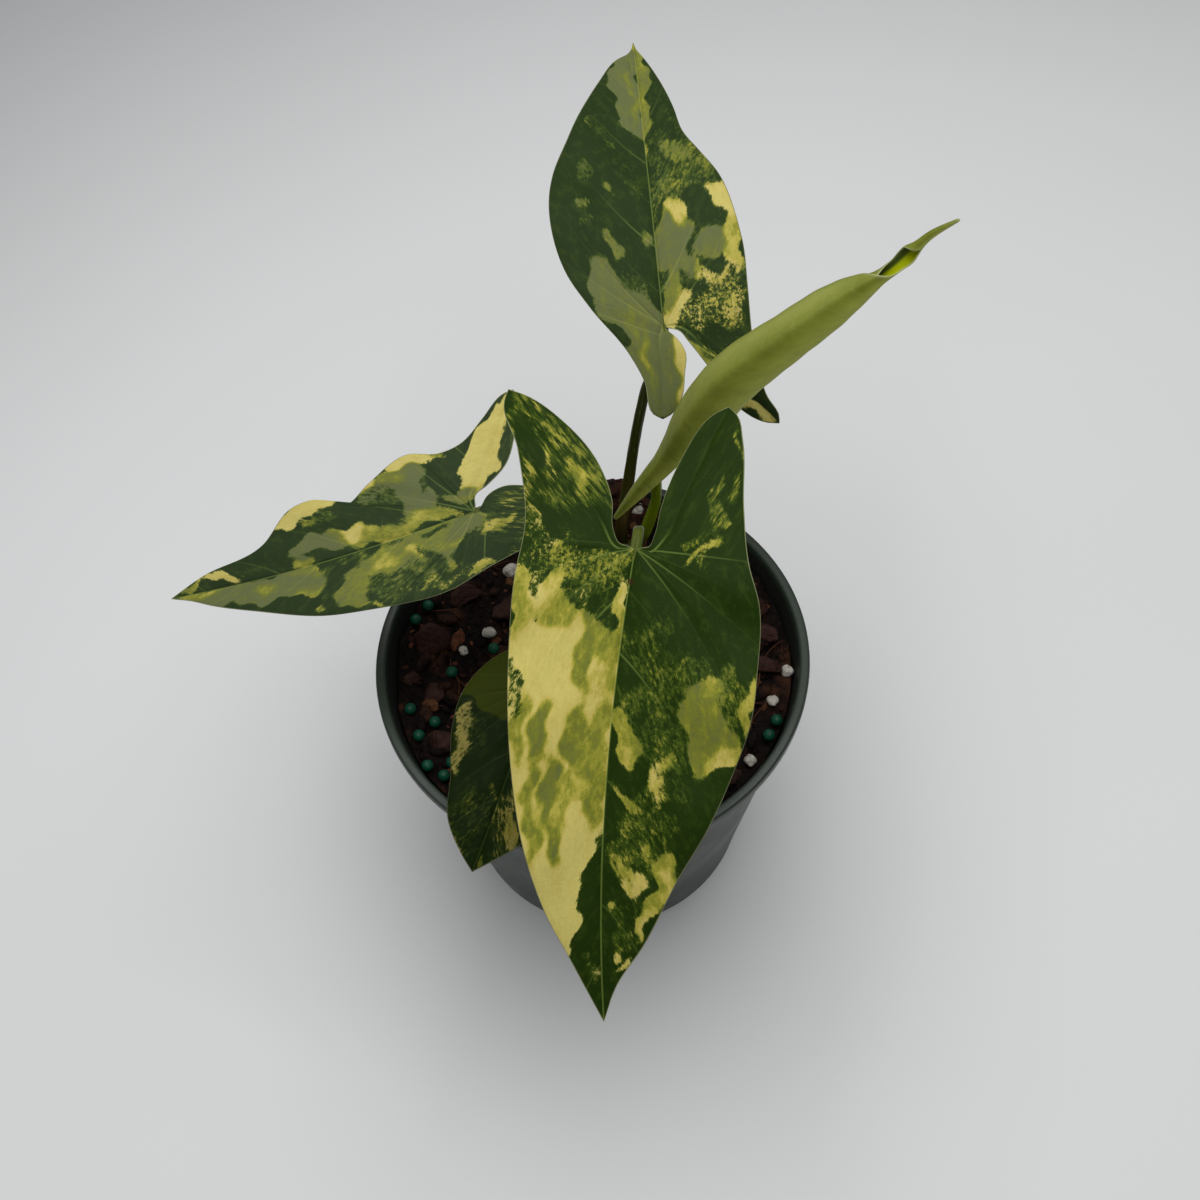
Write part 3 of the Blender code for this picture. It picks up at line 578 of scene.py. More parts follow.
CREAM = {
    ("front", 1): (
        (12, 30, 14, 20, 0, -0.15), (19, 34, 6, 9, 0, -0.3), (22.5, 42, 3.2, 3.4, 0, 0.3),
        (27, 31, 1.8, 8, 0, 0.2), (2.6, 41.5, 2, 2.4, 0, 0.3), (10, 48, 2.6, 5, 0, 0.35),
        (3.6, 51, 1.8, 5, 25, 0.1), (5.6, 68, 3, 4, 0, 0.5), (12.2, 69, 1.3, 3.4, 0, 0.45),
        (7.5, 79, 2.6, 5, -25, 0.35), (2, 85.5, 3, 3, 0, 0.35), (15, -1.2, 2.6, 5, 130, 0.2),
    ),
    ("front", -1): (
        (12, 40, 20, 40, 0, 0.9), (10, 76, 14, 20, 0, 1.0), (22, 12, 2.8, 11, 0, 0.15),
        (14, 14.5, 5.5, 3.4, 0, 0.02), (14, 9.5, 2.2, 3, 0, 0.4), (2, 20, 2.6, 11, 0, 0.0),
        (6, 18, 3.2, 6, 0, -0.2), (7.3, 26, 2.0, 4.5, 0, -0.2), (2.8, 28, 2.4, 4.5, 30, 0.3),
        (19, 38, 1.8, 6.5, 0, -0.05), (14.6, 39, 2.1, 5.5, 0, -0.3), (11.4, 36, 1.6, 6, 0, 0.8),
        (7.4, 40, 2.6, 8, 0, -0.2), (2.8, 39, 2.6, 7, 0, -0.1), (7, 44.5, 4.5, 2.6, 60, -0.3),
        (12.4, 50, 2.2, 6.5, 0, -0.4), (16.4, 49, 1.6, 6, 0, -0.2), (9, 52, 2, 5, 0, 0.0),
        (5.4, 50, 2.2, 4, 20, 0.25), (2.4, 51, 2.2, 7, 0, -0.1), (15.5, 59.5, 1.8, 6.5, 0, -0.15),
        (11.4, 59, 1.6, 5.5, 0, -0.25), (13.4, 55, 1.0, 3, 0, 0.4), (9, 5, 10, 5, 0, -0.05),
        (21, -6, 6, 8, 0, 0.2), (20.4, -2, 2, 5, -33, 0.45), (15, -14, 8, 12, 140, -0.15),
        (15.4, -16.4, 1.6, 7, 143, 0.1), (20.3, -12.5, 1.3, 3.4, 150, 0.5),
    ),
    ("back", 1): (
        (8, 0, 14, 32, 0, -0.75), (-3.7, -7, 1.3, 5, 0, 0.75), (-2.7, -14, 1.1, 6, -8, 0.5),
        (4.5, -7, 0.9, 5, 0, 0.05), (7, 2, 3, 3, 40, -0.45), (9.5, 32, 12, 16, 0, -0.5),
        (2, 66, 6, 20, 0, -0.9), (0.2, 64, 0.9, 14, 0, -0.35),
    ),
    ("back", -1): (
        (19.5, -22.2, 2, 6, 124, 0.9), (13, 4, 8, 9, 0, 0.35), (3.6, 3.3, 2, 4.4, 45, 0.7),
        (2.6, 8, 2, 4.4, 15, -0.25), (4.6, 18, 5, 10, 0, -0.7), (14.4, 18, 5, 4, 0, -0.6),
        (19, 22, 2.2, 12, 3, 0.25), (17, 30, 2.4, 5, -18, 0.7), (6.2, 28, 2.4, 3.4, 0, 0.45),
        (9, 39, 7, 9, 0, -0.25), (3, 66, 4, 20, 0, -0.3),
    ),
    ("left", 1): (
        (6, -8, 8, 12, 0, 0.2), (5, 20, 8, 20, 0, -0.35), (2.4, 3, 4, 4, 0, -0.7),
        (5.4, 15, 1.4, 2.2, 0, 0.4), (6, 20, 2.2, 5, 0, 0.0), (4.4, 24, 1.6, 3, 0, 0.2),
        (9, 18, 2.8, 4.4, 10, -0.4), (10, 32, 5, 5.4, 0, -0.4), (14.8, 10, 1.8, 17, 0, 0.25),
        (3.5, 56, 4.5, 18, 0, -0.75), (2.6, 54, 1.2, 3.6, 0, -0.2), (1, 44, 1.2, 3.6, 0, -0.45),
    ),
    ("left", -1): (
        (13.5, -7, 6, 16, 127, 0.75), (5, 1.6, 4, 1.6, 100, -0.6), (17.2, 11.5, 3.2, 5.4, 0, 0.8),
        (11.5, 14, 5, 6, 0, -0.85), (6.4, 11, 3, 5.4, 30, -1.0), (3, 13, 2.2, 9, 12, -0.1),
        (14.6, 16, 1.9, 3, 0, -0.3), (12, 21, 3.4, 5, 0, -0.8), (15, 23.8, 2, 3, 0, 0.8),
        (2, 24, 2.4, 9, 12, -0.05), (5, 30.5, 1.9, 3.2, 10, 0.7), (4.6, 34.4, 2.8, 2.6, 0, -0.4),
        (14, 42, 3.4, 10, -8, 0.8), (4.6, 40, 3, 6, 0, -0.9), (2.6, 67, 2, 5, 0, 0.6),
    ),
    ("low", 1): (
        (6, 32, 8, 12, 0, 0.4),
    ),
    ("low", -1): (
        (13, 17, 5, 9, 0, 0.7), (6, 41.4, 2, 2, 0, 0.7),
    ),
}
print(sum(map(len, PALE.values())), "patches for paleness,",
      sum(map(len, CREAM.values())), "for tone")

# %% Patches laid over one another
PATCH_EDGE = 1.5  # mm over which a patch fades


def laid_over(out, along, patches, start):
    """Soft ellipses laid over one another. Inside an ellipse the level is its own, and it fades
    over PATCH_EDGE. The places are first bent by slow sine waves, so no patch is a clean oval."""
    bent_out = out + 0.8 * np.sin(0.42 * along + 0.8) + 0.5 * np.sin(0.95 * along - 0.35 * out)
    bent_along = along + 1.1 * np.sin(0.47 * out + 0.21 * along) + 0.6 * np.sin(0.9 * out + 1.0)
    level = np.full(out.shape, float(start))
    for x, y, wide, long, turn, value in patches:
        lean = math.radians(turn)
        dx, dy = bent_out - x, bent_along - y
        lengthwise = dx * math.sin(lean) + dy * math.cos(lean)
        sideways = dx * math.cos(lean) - dy * math.sin(lean)
        inside = 1 - np.hypot(sideways / wide, lengthwise / long)
        weight = np.clip(0.5 + inside * min(wide, long) / PATCH_EDGE, 0, 1)
        weight = weight * weight * (3 - 2 * weight)
        level += (value - level) * weight
    return level


out, along = np.meshgrid(np.linspace(0, 20, 20), np.linspace(0, 70, 70))
for name in BLADES:
    pale = [(laid_over(out, along, PALE[name, half], -1) > 0).mean() for half in (1, -1)]
    print(name, "blade: share of a 20 by 70 mm field that is pale, in each half:", np.round(pale, 2))

# %% [markdown]
# ## From ladders to a closed leaf
# Each ladder is laid on the bent sheet twice, as the upper and the lower face, set apart along
# the sheet's normal by a thickness that closes to nothing at the margin. Between the side veins
# the tissue is slightly puffed, the midrib is a shallow groove above and a round ridge below.
# All of it is a sum of formulas in the grain coordinates, worked out for whole arrays at once.

# %% Upper and lower face of a ladder
THICKNESS = 0.5  # of the blade, in mm
NORMAL_STEP = 0.15  # mm of the short steps that give a normal
PUFF = 0.5  # mm by which the tissue rises between two side veins
PUFF_APART = 12  # mm between two side veins from which it rises fully
ROUNDED = 0.45  # mm from the margin over which the edge is rounded
GROOVE, RIDGE = 0.25, 0.75  # mm: the midrib's groove above and its ridge below
VEIN_RIDGE = 0.12  # mm


def blade_normal(blade, across, along, middle):
    """The upward normal of the bent sheet: the cross product of short steps forward and
    sideways. On the midrib, where the two halves meet in a crease, it is the sheet's own up."""
    nudge = np.where(across >= 0, NORMAL_STEP, -NORMAL_STEP)
    sideways = (on_sheet(blade, across + nudge, along) - middle) * np.sign(nudge)[..., None]
    forward = on_sheet(blade, across, along + NORMAL_STEP) - middle
    normal = np.cross(forward, sideways)
    normal /= np.linalg.norm(normal, axis=-1, keepdims=True)
    _, _, up = blade_frame(blade, along)
    line = blade["tip"][0] * np.clip(along / blade["tip"][1], 0, 1)
    return np.where((np.abs(across - line) < 1e-6)[..., None], up, normal)


def leaf_faces(blade, flat, grain, inner):
    """Upper and lower face of one ladder. Height of the sheet = puff between veins, a raised
    cosine of the vein number; half the thickness = a root curve that rounds the margin. The
    grooves and ridges of the ribs and veins are bell curves of the distance to them."""
    across, along = flat[..., 0], flat[..., 1]
    middle = on_sheet(blade, across, along)
    normal = blade_normal(blade, across, along, middle)
    rung, edge, turns = grain["rung"], grain["edge"], grain["turns"]
    # How far the rung's start is from the ends of the ribs: the same on both sides of a rib.
    from_tip = np.linalg.norm(flat[:, :1] - blade["tip"], axis=-1)
    from_lobe = np.linalg.norm(flat[:, :1] - flat[-1 if inner else 0, 0], axis=-1)
    inward = np.clip(np.minimum(from_tip, from_lobe), 0, 8) * grain["inward"]
    puff = 0.5 - 0.5 * np.cos(2 * np.pi * turns)
    puff = puff * PUFF * np.clip(grain["apart"] / PUFF_APART, 0, 1)
    puff = puff * np.clip(rung / 6, 0, 1) * np.clip(edge / 4, 0, 1)
    off = np.abs((turns + 0.5) % 1 - 0.5) * grain["apart"]
    veins = VEIN_RIDGE * bell(off, 0.5) * np.clip(rung, 0, 1) * np.clip(edge / 3, 0, 1)
    slim = np.clip(1 - along / (blade["tip"][1] * 1.02), 0.12, 1)
    within = np.clip(inward / 1.5, 0, 1)
    groove = GROOVE * bell(rung, 0.9) * within
    ridge = RIDGE * slim * bell(rung, 0.5 + 0.5 * slim) * within
    half = THICKNESS / 2 * np.sqrt(np.clip(inward / ROUNDED, 0, 1))
    upper = middle + normal * (puff + half - groove)[..., None]
    lower = middle + normal * (puff - half - ridge - veins)[..., None]
    return upper, lower


blade, side = BLADES["front"], BLADES["front"]["sides"][0]
upper, lower = leaf_faces(blade, *ladder(blade, side, *LADDERS["front"]), False)
print("thickest place of the front blade:", np.linalg.norm(upper - lower, axis=-1).max().round(2), "mm")


# %% One closed mesh from several grids
def grid_triangles(rows, columns, first, turned):
    """Corner numbers of two triangles for each cell of a grid whose first point is numbered
    first, wound the other way if turned."""
    index = first + np.arange(rows * columns).reshape(rows, columns)
    a, b, c, d = index[:-1, :-1], index[1:, :-1], index[1:, 1:], index[:-1, 1:]
    faces = np.concatenate([stacked(a, b, c).reshape(-1, 3), stacked(a, c, d).reshape(-1, 3)])
    return faces[:, ::-1] if turned else faces


def joined_mesh(name, grids):
    """One mesh from several grids. Each grid is (points, turned, {attribute: values}). Points
    that coincide become one, cells that shrink to nothing are dropped, and the attributes stay
    on face corners, so that two grids can meet with different values."""
    corners = np.concatenate([points.reshape(-1, 3) for points, _, _ in grids])
    firsts = np.cumsum([0] + [points[..., 0].size for points, _, _ in grids])
    faces = np.concatenate([grid_triangles(*points.shape[:2], first, turned)
                            for (points, turned, _), first in zip(grids, firsts)])
    _, keep, same = np.unique(np.round(corners, 3), axis=0, return_index=True, return_inverse=True)
    merged = same.reshape(-1)[faces]
    a, b, c = merged.T
    whole = (a != b) & (b != c) & (c != a)
    faces, merged = faces[whole], merged[whole]
    mesh = bpy.data.meshes.new(name)
    mesh.from_pydata((corners[keep] * MM).tolist(), [], merged.tolist())
    for key in grids[0][2]:
        values = np.concatenate([given[key].reshape(-1, 3) for _, _, given in grids])
        stored = mesh.attributes.new(key, "FLOAT_VECTOR", "CORNER")
        stored.data.foreach_set("vector", values[faces.reshape(-1)].astype(np.float32).ravel())
    mesh.shade_smooth()
    return mesh


def finished(name, mesh, paint, replaced):
    """An object for a mesh, painted, riding on the plant and standing for CAD nodes."""
    made = bpy.data.objects.new(name, mesh)
    bpy.context.scene.collection.objects.link(made)
    mesh.materials.append(paint)
    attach(made, "root")
    if replaced:
        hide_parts(*replaced)
    print(name, len(mesh.polygons), "faces")


sample = joined_mesh("sample", [(leaf, under, {}) for under, leaf in enumerate((upper, lower))])
print("half of the front blade:", len(sample.vertices), "points in", len(sample.polygons), "triangles")
bpy.data.meshes.remove(sample)

# %% A whole blade
STREAK_LEAN = 28.0  # degrees that the colour streaks lean forward from the midrib


def streak_places(side, half, out, along):
    """Places across and along the colour streaks, and how drawn out these are: in a lobe they run
    along its axis, in the rest of the blade they lean forward, round the joint they are even."""
    lobe = math.atan2(side["lobe"][0] * half, side["lobe"][1])
    lean = np.where(along < 0, lobe, math.radians(STREAK_LEAN))
    drawn = rise(-along, 0.5, 6) + 0.7 * rise(along, 4, 14)
    stretch = np.where(along < 0, 0.5, 1.0)
    return stacked(out * np.cos(lean) - along * np.sin(lean),
                   (out * np.sin(lean) + along * np.cos(lean)) * stretch, drawn)


def make_leaf(name, paint):
    """A whole blade: for each half, the outer and the inner ladder, each as an upper and a lower
    face with its grain, its streaks, its marks (pale, cream, underside) and its flat place."""
    blade = BLADES[name]
    seed = 37 * list(BLADES).index(name)
    grids = []
    for half, side in zip((1, -1), blade["sides"]):
        for inner in (False, True):
            lag = ALTERNATE if half < 0 and not inner else 0.0
            flat, grain = ladder(blade, side, *LADDERS[name], inner, lag)
            out, along = flat[..., 0] * half, flat[..., 1]
            pale = laid_over(out, along, PALE[name, half], -1)
            cream = laid_over(out, along, CREAM[name, half], 0)
            data = {"place": stacked(flat[..., 0] + seed, along, grain["edge"]),
                    "grain": stacked(grain["rung"], grain["turns"] + half * 40, grain["apart"]),
                    "streak": streak_places(side, half, out, along) + (half * 90 + seed, 0, 0)}
            for under, points in enumerate(leaf_faces(blade, flat, grain, inner)):
                data = {**data, "marks": stacked(pale, cream, under)}
                grids.append((points, (half < 0) ^ bool(under), data))
    mesh = joined_mesh(f"leaf_{name}", grids)
    finished(f"leaf_{name}", mesh, paint, [f"blade_{name}"])


print("each blade joins eight grids: two halves, two ladders in each, two faces of each")

# %% [markdown]
# ## The leaf's finish
# The tissue is satin, with a fine net of small veins. The colour comes in steps: specks decide
# where it is pale, a softer noise decides how cream the pale is, and a faint deeper layer of
# green shows through beside the specks, because a leaf has several layers of cells. The veins,
# the midrib and the hairline margin are lighter. The underside is the same, paler and duller.


# %% Speckle group
FINE_SPREAD, BLOTCH_SPREAD = 4.2, 1.3  # how far the two noises move the share, from end to end
CALM = 0.82  # how much of that is taken away where the share is 1 or -1


def add_socket(tree, name, kind, is_output=False):
    """A named input or output on a node group."""
    way = "OUTPUT" if is_output else "INPUT"
    tree.interface.new_socket(name=name, in_out=way, socket_type=kind)


def make_specks_group():
    """Share in, ragged total out: above zero means pale. Fine noise, as drawn out along the
    streaks as Drawn says, and broader blotches are added to the share. They count for less where
    the share is near 1 or -1, so that plain patches stay plain."""
    tree = bpy.data.node_groups.new("specks", "ShaderNodeTree")
    for name, kind in (("Share", "NodeSocketFloat"), ("Drawn", "NodeSocketFloat"),
                       ("Streak", "NodeSocketVector"), ("Place", "NodeSocketVector")):
        add_socket(tree, name, kind)
    add_socket(tree, "Total", "NodeSocketFloat", is_output=True)
    given = tree.nodes.new("NodeGroupInput").outputs
    even = noise(tree, given["Place"], 1.25, 4.0, 0.74, (1, 0.8, 0))
    drawn = noise(tree, given["Streak"], 1.35, 4.0, 0.74, (1, 0.3, 0))
    more = maths(tree, "MULTIPLY", maths(tree, "SUBTRACT", drawn, even), given["Drawn"])
    blotch = noise(tree, given["Place"], 0.26, 3.0, 0.55, (1, 0.7, 0))
    fine = maths(tree, "SUBTRACT", maths(tree, "ADD", even, more), 0.5)
    spread = maths(tree, "ADD", maths(tree, "MULTIPLY", fine, FINE_SPREAD),
                   maths(tree, "MULTIPLY", maths(tree, "SUBTRACT", blotch, 0.5), BLOTCH_SPREAD))
    plain = maths(tree, "POWER", maths(tree, "ABSOLUTE", given["Share"]), 2.0)
    plain = maths(tree, "MULTIPLY", plain, CALM, True)
    ragged = maths(tree, "MULTIPLY", spread, maths(tree, "SUBTRACT", 1.0, plain))
    total = maths(tree, "ADD", ragged, given["Share"])
    tree.links.new(total, tree.nodes.new("NodeGroupOutput").inputs["Total"])
    return tree


SPECKS = make_specks_group()


def specks(tree, share, drawn, streak, place):
    """The speckle group's total in a material."""
    made = node(tree, "ShaderNodeGroup", node_tree=SPECKS)
    for name, value in (("Share", share), ("Drawn", drawn), ("Streak", streak), ("Place", place)):
        tree.links.new(value, made.inputs[name])
    return made.outputs["Total"]


print("node group", SPECKS.name, "with", len(SPECKS.nodes), "nodes")

# %% Leaf colours
DARK = (tone(22, 40, 4), tone(33, 48, 13))
BURIED = tone(62, 78, 22)
OLIVE = tone(68, 78, 4)
# Steps of the pale tissue from grey-green to cream: place on the scale, colour.
PALE_TONES = ((0.0, tone(86, 93, 57)), (0.17, tone(90, 96, 52)), (0.26, tone(97, 102, 45)),
              (0.41, tone(108, 112, 38)), (0.46, tone(123, 124, 42)), (0.56, tone(138, 134, 50)),
              (0.59, tone(154, 147, 60)), (0.7, tone(164, 153, 70)), (0.73, tone(176, 162, 85)),
              (1.0, tone(184, 172, 97)))
FLECKS = tone(104, 108, 40)  # yellow-green flecks in the pale tissue
UNDERSIDE = tone(128, 140, 84)
# The next two are painted light: the colour of the deepest painted shade, and of painted sheen.
PAINTED_SHADE_TONE = tone(2, 4, 2)
PAINTED_SHEEN_TONE = tone(205, 208, 205)
SCAR = tone(52, 34, 22)
VEIN_ON_DARK = tone(92, 108, 48)
VEIN_ON_PALE = tone(150, 150, 80)
HAIRLINE = tone(150, 154, 112)
BLEMISH = (0.2, 7.0, 0.0)  # a small scar beside the largest leaf's midrib
print(len(PALE_TONES), "steps from grey-green to cream")


# %% Veins and tissue
def flat_place(tree, place):
    """A place on the flat leaf, without the distance to the margin that is stored beside it."""
    return node(tree, "ShaderNodeVectorMath", {0: place, 1: (1, 1, 0)}, operation="MULTIPLY").outputs[0]


def vein_mask(tree, grain, along):
    """Thin lines where the vein number is whole, fainter ones half way between, both fading
    outward and towards the tip, and the midrib itself, where the distance along the rung is
    nearly nothing. In the lobes nearly all of them are hidden."""
    _, rung, number, apart = grain
    near = maths(tree, "PINGPONG", number, 0.5)
    main = ramp(tree, maths(tree, "MULTIPLY", near, apart), 0.06, 0.26, 0.8, 0.0)
    between = maths(tree, "MULTIPLY", maths(tree, "SUBTRACT", 0.5, near), apart)
    minor = ramp(tree, between, 0.05, 0.22, 0.14, 0.0)
    lines = maths(tree, "MAXIMUM", main, minor)
    lines = maths(tree, "MULTIPLY", lines, ramp(tree, rung, 3.0, 24.0, 1.0, 0.1))
    in_blade = ramp(tree, along, -6.0, 0.5, 0.04, 1.0)
    lines = maths(tree, "MULTIPLY", lines, ramp(tree, along, 10.0, 60.0, 1.0, 0.4))
    middle = maths(tree, "MULTIPLY", ramp(tree, rung, 0.15, 0.42, 0.9, 0.0), in_blade)
    return maths(tree, "MAXIMUM", maths(tree, "MULTIPLY", lines, in_blade), middle)


def tissue(tree, place, streak, drawn, pale, cream):
    """The colour between the veins, and how pale it is: dark tissue, buried green beside the
    specks, pale tissue by steps of tone, with olive for the lowest share."""
    total = specks(tree, pale, drawn, streak, place)
    is_pale = maths(tree, "ADD", ramp(tree, total, -0.1, 0.14, 0.0, 0.62),
                    ramp(tree, total, 0.1, 0.42, 0.0, 0.38))
    dark = mix(tree, noise(tree, place, 0.09, 3.0, 0.5, (1, 0.7, 0)), *DARK)
    mottle = noise(tree, streak, 0.5, 5.0, 0.7, (1, 0.5, 0), (5, 3, 0))
    dark = mix(tree, ramp(tree, mottle, 0.48, 0.66, 0.0, 0.26), dark, BURIED)
    dark = mix(tree, ramp(tree, total, -0.5, -0.08, 0.0, 0.75), dark, BURIED)
    dark = mix(tree, ramp(tree, pale, -1.7, -1.2, 0.9, 0.0), dark, OLIVE)
    wander = maths(tree, "SUBTRACT", noise(tree, place, 0.3, 7.0, 0.7, (1, 0.42, 0), (9, 0, 0)), 0.5)
    rough = maths(tree, "SUBTRACT", noise(tree, streak, 1.1, 4.0, 0.7, (1, 0.45, 0)), 0.5)
    wander = maths(tree, "ADD", maths(tree, "MULTIPLY", wander, 2.2),
                   maths(tree, "MULTIPLY", rough, 0.9))
    level = maths(tree, "ADD", wander, cream)
    level = maths(tree, "MULTIPLY", maths(tree, "ADD", level, 1.0), 0.5, True)
    tones = node(tree, "ShaderNodeValToRGB", {0: level})
    while len(tones.color_ramp.elements) < len(PALE_TONES):
        tones.color_ramp.elements.new(0.5)
    for stop, (at, colour) in zip(tones.color_ramp.elements, PALE_TONES):
        stop.position = at
        stop.color = colour
    fleck = noise(tree, place, 1.6, 4.0, 0.6, (1, 0.3, 0))
    flecked = ramp(tree, fleck, 0.35, 0.75, 0.0, 0.14)
    shade = mix(tree, flecked, tones.outputs["Color"], FLECKS)
    return mix(tree, is_pale, dark, shade), is_pale, fleck


print("helpers for the leaf's colour: flat_place, vein_mask, tissue")


# %% Leaf material and the four open leaves
def make_leaf_material(name, painted_shade, painted_sheen):
    """Tissue, then veins, scar, margin and underside. Painted shade, 0 to 1, darkens a leaf that lies
    in another's shadow and fades its veins, and painted sheen lightens it as a reflection would."""
    made, tree, shader = new_material(name, 0.48, 0.03)
    grain = attribute(tree, "grain")
    streak, _, _, drawn = attribute(tree, "streak")
    place, _, along, edge = attribute(tree, "place")
    _, pale, cream, under = attribute(tree, "marks")
    colour, is_pale, fleck = tissue(tree, place, streak, drawn, pale, cream)
    vein = vein_mask(tree, grain, along)
    # Veins show less on pale tissue, and less on dark tissue under painted shade.
    vein = maths(tree, "MULTIPLY", vein, ramp(tree, is_pale, 0.0, 1.0, 0.8 - painted_shade, 0.3))
    colour = mix(tree, vein, colour, mix(tree, is_pale, VEIN_ON_DARK, VEIN_ON_PALE))
    flat = flat_place(tree, place)
    scar = node(tree, "ShaderNodeVectorMath", {0: flat, 1: BLEMISH}, operation="DISTANCE")
    ragged = maths(tree, "ADD", scar.outputs["Value"], maths(tree, "MULTIPLY", fleck, 0.9))
    colour = mix(tree, ramp(tree, ragged, 0.9, 1.3, 0.8, 0.0), colour, SCAR)
    hair = ramp(tree, edge, 0.06, 0.26, 0.8, 0.0)
    colour = mix(tree, hair, colour, HAIRLINE)
    colour = mix(tree, under, colour, mix(tree, 0.45, colour, UNDERSIDE))
    # Painted shade: the lowest leaf lies in the largest leaf's shadow, so its colour is darkened.
    colour = mix(tree, painted_shade, colour, PAINTED_SHADE_TONE)
    # Painted sheen: the upper leaves are lightened as by light reflected off their surface.
    colour = mix(tree, painted_sheen, colour, PAINTED_SHEEN_TONE)
    tree.links.new(colour, shader.inputs["Base Color"])
    net = node(tree, "ShaderNodeTexVoronoi", {"Vector": place, "Scale": 0.55},
               feature="DISTANCE_TO_EDGE")
    relief = maths(tree, "ADD", ramp(tree, net.outputs["Distance"], 0.0, 0.12),
                   maths(tree, "MULTIPLY", fleck, 0.4))
    bump(tree, shader, relief, 0.2, 0.0001)
    return made


# The lowest leaf gets painted shade, the two upper ones a faint painted sheen.
for name, finish, painted_shade, painted_sheen in (("front", "variegated leaf", 0.0, 0.0),
                                ("back", "variegated leaf, upper, faint painted sheen", 0.0, 0.01),
                                ("left", "variegated leaf, painted sheen", 0.0, 0.018),
                                ("low", "variegated leaf, in painted shade", 0.55, 0.0)):
    make_leaf(name, make_leaf_material(finish, painted_shade, painted_sheen))

# %% [markdown]
# ## Formulas for round and rough pieces
# The roll, stalks, beads, chips and grains are all grids of two parameters closed at both ends.
# Their roughness comes from three formulas: slanted sine waves for soft knobs, planes round a
# middle for broken faces, and packed domes for crumbs. A random number is the far decimals of a
# sine, so that the same piece comes out each time.

# %% Scattered numbers and directions
GOLDEN_ANGLE = 2.39996  # radians


def scatter(a, b, seed):
    """A number from 0 to 1 for each pair, in no visible order: the far decimals of a sine."""
    return (np.sin(a * 12.99 + b * 78.23 + seed * 37.72) * 43758.5) % 1


def spread_ways(count, seed):
    """Directions spread evenly over a ball: equal steps in height, the golden angle in turn."""
    number = np.arange(count) + 0.5
    height = 1 - 2 * number / count
    turn = GOLDEN_ANGLE * number + seed
    flat = np.sqrt(1 - height**2)
    return stacked(flat * np.cos(turn), flat * np.sin(turn), height)


print("three scattered numbers:", scatter(np.arange(3), 0, 1).round(2))


# %% Rough shapes
WAVES = 6


def waves(points, pitch, seed):
    """Soft knobs: the mean of sine waves about pitch mm long that run in slanted directions."""
    number = np.arange(WAVES)
    phase = points @ spread_ways(WAVES, seed).T * (2 * np.pi / pitch) * (1 + 0.17 * number)
    return np.sin(phase + 1.7 * (number + 1) * (seed + 1)).mean(-1)


def domes(x, y, pitch, seed):
    """Packed crumbs: each square of a net pitch mm wide holds a centre placed at random, and the
    height is a dome round the nearest centre: the root of 1 less the squared distance."""
    column, row = np.floor(x / pitch), np.floor(y / pitch)
    nearest = np.full(x.shape, 9.0)
    height = np.zeros(x.shape)
    for a, b in ((column + i, row + j) for i in (-1, 0, 1) for j in (-1, 0, 1)):
        away = np.hypot(x / pitch - a - scatter(a, b, seed), y / pitch - b - scatter(a, b, seed + 1))
        height = np.where(away < nearest, scatter(a, b, seed + 2), height)
        nearest = np.minimum(away, nearest)
    return (0.3 + 0.7 * height) * np.sqrt(np.clip(1 - (nearest / 0.8) ** 2, 0, 1))


def ball(rows, columns):
    """Directions over a ball: rows from the upper pole to the lower one, columns round it."""
    polar = np.linspace(0, np.pi, rows)[:, None]
    around = np.linspace(0, 2 * np.pi, columns)[None]
    return stacked(np.sin(polar) * np.cos(around), np.sin(polar) * np.sin(around), np.cos(polar))


def broken(ways, far):
    """How far a broken lump reaches in each direction: to the nearest of some planes, each far
    from the middle. A sum of high powers in place of the nearest rounds off the edges."""
    planes = spread_ways(far.shape[-1], 0.4)
    facing = np.clip(ways @ planes.T, 0, None) / far
    return (facing**9).sum(-1) ** (-1 / 9)


def turned(points, turn, tip):
    """Points tipped about the x axis, then turned about the z axis, by angles in radians."""
    x, y, z = np.moveaxis(points, -1, 0)
    y, z = y * np.cos(tip) - z * np.sin(tip), y * np.sin(tip) + z * np.cos(tip)
    return stacked(x * np.cos(turn) - y * np.sin(turn), x * np.sin(turn) + y * np.cos(turn), z)


print("a ball of 7 by 9 has", ball(7, 9)[..., 0].size, "points")

# %% [markdown]
# ## The rolled young leaf
# A new leaf comes out rolled up, one half wrapped round the other, with its underside outward.
# So it is a scroll: a thin sheet that winds a turn and a third round a bent axis and a little
# inward as it goes. Near its tip the free margin swings across the front, so the roll opens into
# a small pocket that shows the bright inner face, and closes again in a thin twisted point. A
# plain spindle would have the outline but neither the lapping margin nor the pocket.

# %% Course of the roll
ROLL_AXIS = ((9, 20, 115), (15.5, 20, 125.5), (22, 20.5, 135), (30, 21, 149), (37, 21.5, 160),
             (49.5, 23, 170.5), (61.5, 26, 177.5), (70, 27, 183), (74.6, 27, 188.6),
             (77.4, 27, 191.9), (83, 27, 195.5))
# Each row: share of the length, radius in mm.
ROLL_RADII = ((0, 0.4), (0.11, 1.8), (0.21, 2.8), (0.36, 5.8), (0.48, 6.1), (0.62, 5.2),
              (0.72, 4.3), (0.78, 2.8), (0.815, 1.6), (0.85, 1.4), (0.887, 1.75), (0.912, 1.0),
              (0.955, 0.6), (1, 0.2))
ROLL_LENGTH = 118.0


